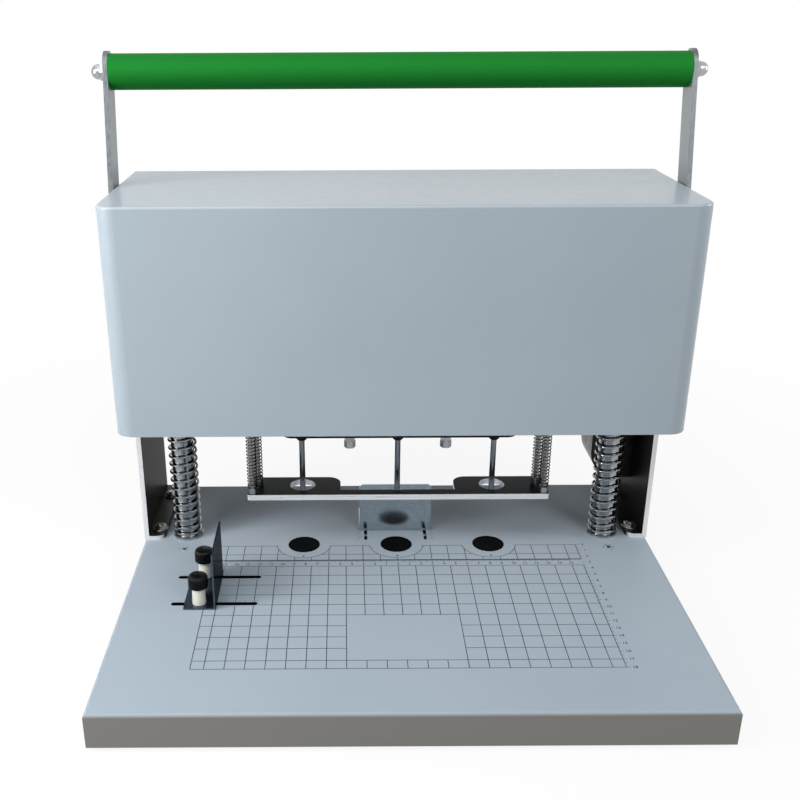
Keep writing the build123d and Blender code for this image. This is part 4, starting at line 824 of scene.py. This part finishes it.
def side_scales(grid):
    for slot_y in GAUGE_YS:
        y = slot_y + SIDE_SCALE_RISE
        for step in range(SIDE_SCALE_TICKS):
            x = SIDE_SLOT_START + step * SIDE_SCALE_STEP
            reach = SIDE_LONG_TICK if step % 5 == 0 else SIDE_SHORT_TICK
            ink_strip(grid, x, y, x, y + reach, FINE_TICK_LINE)


def printed_grid():
    grid = bmesh.new()
    grid_lines(grid)
    wide_ruler(grid)
    edge_ruler(grid)
    for place in THREE_PLACES:
        pad_arc(grid, place * DRILL_PITCH)
    back_scales(grid)
    side_scales(grid)
    finish_mesh("printed_grid", grid, print_ink(), "frame")


printed_grid()

# Cutting pads, with the ring that the bits leave
PAD_BOTTOM = 22.0
PAD_RADIUS = 13.9
PAD_TOP_RADIUS = 13.6
PAD_TOP = 32.05
PAD_SHOULDER = 31.7
PAD_MIDDLE = 32.0
MARK_RADII = (3.2, 2.9, 2.0, 1.7)
PAD_SIDES = 72


def pad_discs():
    pads = bmesh.new()
    profile = (
        (0, PAD_BOTTOM),
        (PAD_RADIUS, PAD_BOTTOM),
        (PAD_RADIUS, PAD_SHOULDER),
        (PAD_TOP_RADIUS, PAD_TOP),
        (MARK_RADII[0], PAD_TOP),
        (MARK_RADII[1], PAD_SHOULDER),
        (MARK_RADII[2], PAD_SHOULDER),
        (MARK_RADII[3], PAD_MIDDLE),
        (0, PAD_MIDDLE),
    )
    for place in THREE_PLACES:
        lathe(pads, profile, moved(place * DRILL_PITCH, DRILL_Y, 0), PAD_SIDES)
    piece = finish_mesh("pad_discs", pads, pad_black(), "frame")
    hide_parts("cutting_pads")


pad_discs()

# Chucks and hollow bits
CHUCK_BORE = 2.6
CHUCK_NOSE = 3.7
CHUCK_RADIUS = 7.0
CHUCK_BOTTOM = 135.0
CHUCK_TOP = 148.5
CHUCK_CONE_TOP = 138.8
CHUCK_CHAMFER = 0.4
NOSE_ROUND = 0.5
CONE_STEP = 0.2
BIT_RADIUS = 2.5
BIT_BORE = 1.5
BIT_EDGE_RADIUS = 1.9
BIT_TIP = 85.8
BIT_BEVEL_TOP = 87.0
BIT_SIDES = 32


def chuck_cone(side_name, x):
    chuck = bmesh.new()
    profile = (
        (CHUCK_BORE, CHUCK_BOTTOM),
        (CHUCK_NOSE, CHUCK_BOTTOM),
        (CHUCK_NOSE + CHUCK_CHAMFER, CHUCK_BOTTOM + NOSE_ROUND),
        (CHUCK_RADIUS - CONE_STEP, CHUCK_CONE_TOP),
        (CHUCK_RADIUS, CHUCK_CONE_TOP + CHUCK_CHAMFER),
        (CHUCK_RADIUS, CHUCK_TOP),
        (CHUCK_BORE, CHUCK_TOP),
    )
    lathe(chuck, profile, moved(x, DRILL_Y, 0))
    look = slot_looks["dark_plate"]
    piece = finish_mesh(side_name + "_chuck_cone", chuck, look, side_name + "_bit")
    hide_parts(side_name + "_chuck")


def bit_tube(side_name, x):
    bit = bmesh.new()
    profile = (
        (BIT_EDGE_RADIUS, BIT_TIP),
        (BIT_RADIUS, BIT_BEVEL_TOP),
        (BIT_RADIUS, CHUCK_TOP),
        (BIT_BORE, CHUCK_TOP),
        (BIT_BORE, BIT_BEVEL_TOP),
    )
    closed_lathe(bit, profile, moved(x, DRILL_Y, 0), BIT_SIDES)
    look = slot_looks["spring_steel"]
    piece = finish_mesh(side_name + "_bit_tube", bit, look, side_name + "_bit")
    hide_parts(side_name + "_drill")


for side_name, place in (("left", -1), ("centre", 0), ("right", 1)):
    chuck_cone(side_name, place * DRILL_PITCH)
    bit_tube(side_name, place * DRILL_PITCH)

# Side gauge posts and fluted knobs
POST_BORE = 2.3
POST_FOOT = (33.5, 34.0)
POST_FOOT_RADII = (5.5, 5.6)
POST_HEAD = (48.1, 48.5)
POST_HEAD_RADII = (5.15, 4.9)
KNOB_Z0 = 48.55
CAP_RADIUS = 8.0
CAP_FLUTES = 20
CAP_FLUTE_DEPTH = 0.5
CAP_FLUTE_STEPS = 10
CAP_FLUTE_POWER = 2.2
CAP_LEVELS = ((0, 0.5), (0.6, 0), (8.2, 0), (9.8, 0.6), (10.6, 1.7), (11.0, 3.4))
KNOB_STUD_Z0 = 23.7
KNOB_STUD_RADIUS = 2.0


def post_sleeves():
    posts = bmesh.new()
    profile = (
        (POST_BORE, POST_FOOT[0]),
        (POST_FOOT_RADII[0], POST_FOOT[0]),
        (POST_FOOT_RADII[1], POST_FOOT[1]),
        (POST_HEAD_RADII[0], POST_HEAD[0]),
        (POST_HEAD_RADII[1], POST_HEAD[1]),
        (POST_BORE, POST_HEAD[1]),
    )
    for y in GAUGE_YS:
        closed_lathe(posts, profile, moved(GAUGE_X, y, 0))
    look = slot_looks["white_plastic"]
    piece = finish_mesh("post_sleeves", posts, look, "side_gauge_body")
    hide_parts("gauge_posts")


def fluted_outline():
    """Outline of a cap with rounded lobes and narrow grooves."""
    count = CAP_FLUTES * CAP_FLUTE_STEPS
    places = []
    for step in range(count):
        angle = 2 * math.pi * step / count
        wave = abs(math.cos(CAP_FLUTES * angle / 2))
        reach = CAP_RADIUS - CAP_FLUTE_DEPTH * (1 - wave) ** CAP_FLUTE_POWER
        places.append((reach * math.cos(angle), reach * math.sin(angle)))
    return places


def fluted_cap(name, y, look):
    knob = bmesh.new()
    outline_prism(knob, fluted_outline(), moved(GAUGE_X, y, KNOB_Z0), CAP_LEVELS)
    stud = ((0, KNOB_STUD_Z0), (KNOB_STUD_RADIUS, KNOB_STUD_Z0), (KNOB_STUD_RADIUS, KNOB_Z0), (0, KNOB_Z0))
    lathe(knob, stud, moved(GAUGE_X, y, 0), SMALL_SIDES)
    piece = finish_mesh(name + "_fluted_cap", knob, look, name + "_knob_body")
    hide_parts(name + "_knob")


post_sleeves()
cap_look = cap_black()
fluted_cap("front", GAUGE_YS[0], cap_look)
fluted_cap("rear", GAUGE_YS[1], cap_look)

# Bolts through the uprights' feet: stud, washer, nut, and nut under the table
BOLT_X = 215.0
BOLT_YS = (81.0, 147.0)
BOLT_BOTTOM = 25.0
BOLT_TOP = 41.2
BOLT_RADIUS = 3.0
BOLT_CHAMFER = 0.4
WASHER_Z = 36.0
WASHER_TOP = 37.2
WASHER_ROUND = 0.2
WASHER_BORE = 3.1
WASHER_RADIUS = 7.0
WASHER_FOOT_RADIUS = 6.9
WASHER_RIM_RADIUS = 6.8
BOLT_NUT_RADIUS = 5.5
BOLT_NUT_HEIGHT = 2.9
LOWER_NUT_Z = 26.0
LOWER_NUT_RADIUS = 5.77
LOWER_NUT_HEIGHT = 4.0
HEX_CHAMFER = 0.3
HEX_TOP_DROP = 0.7
HEX_TOP_INSET = 0.9


def hex_head(mesh_data, matrix, radius, height):
    levels = ((0, HEX_CHAMFER), (HEX_CHAMFER, 0), (height - HEX_TOP_DROP, 0), (height, HEX_TOP_INSET))
    outline_prism(mesh_data, polygon(radius, 6, math.pi / 6), matrix, levels)


def base_bolt(fasteners, x, y):
    washer = (
        (WASHER_BORE, WASHER_Z),
        (WASHER_FOOT_RADIUS, WASHER_Z),
        (WASHER_RADIUS, WASHER_Z + WASHER_ROUND),
        (WASHER_RADIUS, WASHER_TOP - WASHER_ROUND),
        (WASHER_RIM_RADIUS, WASHER_TOP),
        (WASHER_BORE, WASHER_TOP),
    )
    stud = (
        (0, BOLT_BOTTOM),
        (BOLT_RADIUS, BOLT_BOTTOM),
        (BOLT_RADIUS, BOLT_TOP - BOLT_CHAMFER),
        (BOLT_RADIUS - BOLT_CHAMFER, BOLT_TOP),
        (0, BOLT_TOP),
    )
    closed_lathe(fasteners, washer, moved(x, y, 0))
    hex_head(fasteners, moved(x, y, WASHER_TOP), BOLT_NUT_RADIUS, BOLT_NUT_HEIGHT)
    lathe(fasteners, stud, moved(x, y, 0), SMALL_SIDES)
    hex_head(fasteners, moved(x, y, LOWER_NUT_Z), LOWER_NUT_RADIUS, LOWER_NUT_HEIGHT)


def base_bolts():
    fasteners = bmesh.new()
    for side in BOTH_SIDES:
        for y in BOLT_YS:
            base_bolt(fasteners, side * BOLT_X, y)
    piece = finish_mesh("base_bolts", fasteners, dark_steel(), "frame")
    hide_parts("base_fasteners")


base_bolts()

# Countersunk screws in the table, in its colour, with hexagonal sockets that dark plugs fill as painted
# shade
SCREW_SETBACK = 28.0
SCREW_BOTTOM = 16.0
SCREW_RADIUS = 2.5
SCREW_NECK_Z = 30.3
SCREW_HEAD_RADIUS = 4.15
SCREW_TOP_RADIUS = 4.0
SCREW_TOP = 32.05
SOCKET_TOP_RADIUS = 1.9
SOCKET_RADIUS = 1.8
SOCKET_FLOOR = 30.8
SOCKET_FILL_RADIUS = 2.3
SOCKET_RIM_Z = 32.08
SOCKET_MIDDLE_Z = 32.02
SCREW_SIDES = 36
SCREW_YS = (COLUMN_Y - SCREW_SETBACK, COLUMN_Y + SCREW_SETBACK)
SCREW_PLACES = [(side * COLUMN_X, y) for side in BOTH_SIDES for y in SCREW_YS]


def table_screws():
    screws = bmesh.new()
    profile = (
        (0, SCREW_BOTTOM),
        (SCREW_RADIUS, SCREW_BOTTOM),
        (SCREW_RADIUS, SCREW_NECK_Z),
        (SCREW_HEAD_RADIUS, TABLE_Z),
        (SCREW_TOP_RADIUS, SCREW_TOP),
        (SOCKET_TOP_RADIUS, SCREW_TOP),
        (SOCKET_RADIUS, SOCKET_FLOOR),
        (0, SOCKET_FLOOR),
    )
    for x, y in SCREW_PLACES:
        lathe(screws, profile, moved(x, y, 0), SCREW_SIDES)
    piece = finish_mesh("table_screws", screws, slot_looks["coated_sheet"], "frame")
    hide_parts("base_fasteners")


# Painted shade: a dark plug fills each hex socket, standing for the shade in the recess.
def screw_socket_shade():
    sockets = bmesh.new()
    profile = (
        (0, SOCKET_FLOOR),
        (SOCKET_FILL_RADIUS, SOCKET_FLOOR),
        (SOCKET_FILL_RADIUS, SOCKET_RIM_Z),
        (0, SOCKET_MIDDLE_Z),
    )
    for x, y in SCREW_PLACES:
        lathe(sockets, profile, moved(x, y, 0), 6)
    piece = finish_mesh("screw_socket_shade", sockets, socket_shade_grey(), "frame")
    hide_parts("base_fasteners")


table_screws()
screw_socket_shade()

# Acorn nuts on the handle's ends and caps on the pivot
ARM_OUTER_X = 236.0
HANDLE_PLACE = (118.5, 431.0)
PIVOT_PLACE = (81.0, 242.0)
ACORN_HEX_RADIUS = 7.5
ACORN_HEX_HEIGHT = 4.0
ACORN_NECK = 3.9
DOME_RADIUS = 5.9
DOME_RISE = 5.6
DOME_STEP = 9
PIVOT_CAP = (
    (0, -14.0),
    (3.0, -14.0),
    (3.0, 0.0),
    (7.6, 0.0),
    (8.0, 0.4),
    (8.0, 3.9),
    (7.4, 4.5),
    (3.2, 4.5),
    (3.0, 2.5),
    (0, 2.5),
)


def acorn_nut(fasteners, side):
    matrix = pointing_x(side * ARM_OUTER_X, *HANDLE_PLACE, side)
    hex_head(fasteners, matrix, ACORN_HEX_RADIUS, ACORN_HEX_HEIGHT)
    profile = [(0, ACORN_NECK), (DOME_RADIUS, ACORN_NECK)]
    for degrees in range(0, 90, DOME_STEP):
        angle = math.radians(degrees)
        profile.append((DOME_RADIUS * math.cos(angle), DOME_RISE + DOME_RADIUS * math.sin(angle)))
    profile.append((0, DOME_RISE + DOME_RADIUS))
    lathe(fasteners, profile, matrix)


def lever_nuts():
    fasteners = bmesh.new()
    for side in BOTH_SIDES:
        acorn_nut(fasteners, side)
        lathe(fasteners, PIVOT_CAP, pointing_x(side * ARM_OUTER_X, *PIVOT_PLACE, side))
    piece = finish_mesh("lever_nuts", fasteners, polished_nut(), "lever")
    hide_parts("lever_fasteners")


lever_nuts()


# Camera
def place_camera():
    data = bpy.data.cameras.new("camera")
    camera = bpy.data.objects.new("camera", data)
    bpy.context.scene.collection.objects.link(camera)
    data.sensor_width = SENSOR
    data.lens = FOCAL_PIXELS * SENSOR / IMAGE_SIDE
    data.shift_x = (IMAGE_SIDE / 2 - PRINCIPAL_POINT[0]) / IMAGE_SIDE
    data.shift_y = (PRINCIPAL_POINT[1] - IMAGE_SIDE / 2) / IMAGE_SIDE
    data.clip_start = CLIP_NEAR
    data.clip_end = CLIP_FAR
    yaw = math.radians(CAMERA_YAW)
    pitch = math.radians(CAMERA_PITCH)
    roll = math.radians(CAMERA_ROLL)
    ahead = Vector((math.sin(yaw) * math.cos(pitch), math.cos(yaw) * math.cos(pitch), -math.sin(pitch)))
    level = Vector((math.cos(yaw), -math.sin(yaw), 0))
    above = level.cross(ahead)
    right = math.cos(roll) * level + math.sin(roll) * above
    up = math.cos(roll) * above - math.sin(roll) * level
    turn = Matrix((right, up, -ahead)).transposed().to_4x4()
    camera.matrix_world = Matrix.Translation(Vector(CAMERA_PLACE) * MM) @ turn
    bpy.context.scene.camera = camera


place_camera()

# Floor and world, in metres
FLOOR_HALF = 20.0
FLOOR_Z = -0.0002
FLOOR_PALE = 0.85
FLOOR_BOUNCE = 0.12
FLOOR_WHITE = 0.90
WHITE_REACH = (0.3, 0.9)
WORLD_FILL = 0.13


def white_rays(tree, least=0.0):
    """One for the rays that show the surroundings, also in metal and glass, and the least elsewhere."""
    path = node(tree, "ShaderNodeLightPath")
    share = None
    for ray in ("Is Camera Ray", "Is Glossy Ray", "Is Transmission Ray"):
        most = node(tree, "ShaderNodeMath", operation="MAXIMUM")
        tree.links.new(path.outputs[ray], most.inputs[0])
        most.inputs[1].default_value = least
        if share is not None:
            tree.links.new(share, most.inputs[1])
        share = most.outputs[0]
    return share


def diffuse(tree, level):
    made = node(tree, "ShaderNodeBsdfDiffuse")
    made.inputs["Color"].default_value = (level, level, level, 1.0)
    return made.outputs[0]


def shader_mix(tree, share, first, second):
    made = node(tree, "ShaderNodeMixShader")
    tree.links.new(share, made.inputs["Fac"])
    tree.links.new(first, made.inputs[1])
    tree.links.new(second, made.inputs[2])
    return made.outputs[0]


def floor_look():
    """Pale where it is seen, with a faint shadow near the machine, and dull where it lights things."""
    material = bpy.data.materials.new("floor_look")
    material.use_nodes = True
    tree = material.node_tree
    tree.nodes.remove(tree.nodes["Principled BSDF"])
    place = node(tree, "ShaderNodeTexCoord")
    reach = node(tree, "ShaderNodeVectorMath", operation="LENGTH")
    tree.links.new(place.outputs["Object"], reach.inputs[0])
    white = ranged(tree, reach.outputs["Value"], *WHITE_REACH, FLOOR_WHITE, 1.0)
    glow = node(tree, "ShaderNodeEmission").outputs[0]
    seen = shader_mix(tree, white, diffuse(tree, FLOOR_PALE), glow)
    whole = shader_mix(tree, white_rays(tree), diffuse(tree, FLOOR_BOUNCE), seen)
    tree.links.new(whole, tree.nodes["Material Output"].inputs["Surface"])
    return material


def white_floor():
    mesh_data = bmesh.new()
    corners = ((-1, -1), (1, -1), (1, 1), (-1, 1))
    mesh_data.faces.new([mesh_data.verts.new((x * FLOOR_HALF, y * FLOOR_HALF, FLOOR_Z)) for x, y in corners])
    mesh = bpy.data.meshes.new("floor")
    mesh_data.to_mesh(mesh)
    mesh_data.free()
    floor = bpy.data.objects.new("floor", mesh)
    bpy.context.scene.collection.objects.link(floor)
    mesh.materials.append(floor_look())


def studio_world():
    world = bpy.data.worlds.new("studio")
    bpy.context.scene.world = world
    world.use_nodes = True
    tree = world.node_tree
    background = tree.nodes["Background"]
    background.inputs["Color"].default_value = (1.0, 1.0, 1.0, 1.0)
    tree.links.new(white_rays(tree, WORLD_FILL), background.inputs["Strength"])


white_floor()
studio_world()


# Lamps: place, target, width and height in metres, and power in watts
def softbox(name, place, target, width, height, power):
    data = bpy.data.lights.new(name, "AREA")
    data.shape = "RECTANGLE"
    data.size = width
    data.size_y = height
    data.energy = power
    lamp = bpy.data.objects.new(name, data)
    bpy.context.scene.collection.objects.link(lamp)
    lamp.location = place
    lamp.rotation_mode = "QUATERNION"
    lamp.rotation_quaternion = (Vector(target) - Vector(place)).to_track_quat("-Z", "Y")


softbox("front_fill", (1.3, -1.9, 1.6), (0.0, 0.0, 0.15), 1.2, 1.2, 22.0)
softbox("high", (-0.2, -0.9, 2.0), (0.0, -0.05, 0.1), 1.0, 1.0, 10.0)
softbox("near_left", (-0.75, -0.75, 0.95), (-0.15, 0.0, 0.25), 0.5, 0.5, 4.6)
softbox("left_edge", (-0.85, -0.30, 0.50), (-0.2, 0.0, 0.27), 0.3, 0.5, 6.6)
softbox("over_cover", (-0.35, 0.14, 0.95), (-0.05, 0.1, 0.34), 0.5, 0.4, 0.4)
softbox("right_edge", (1.05, 0.02, 0.55), (0.23, 0.05, 0.27), 0.35, 0.5, 3.0)

bpy.context.scene.view_settings.view_transform = "Standard"

bpy.context.view_layer.update()
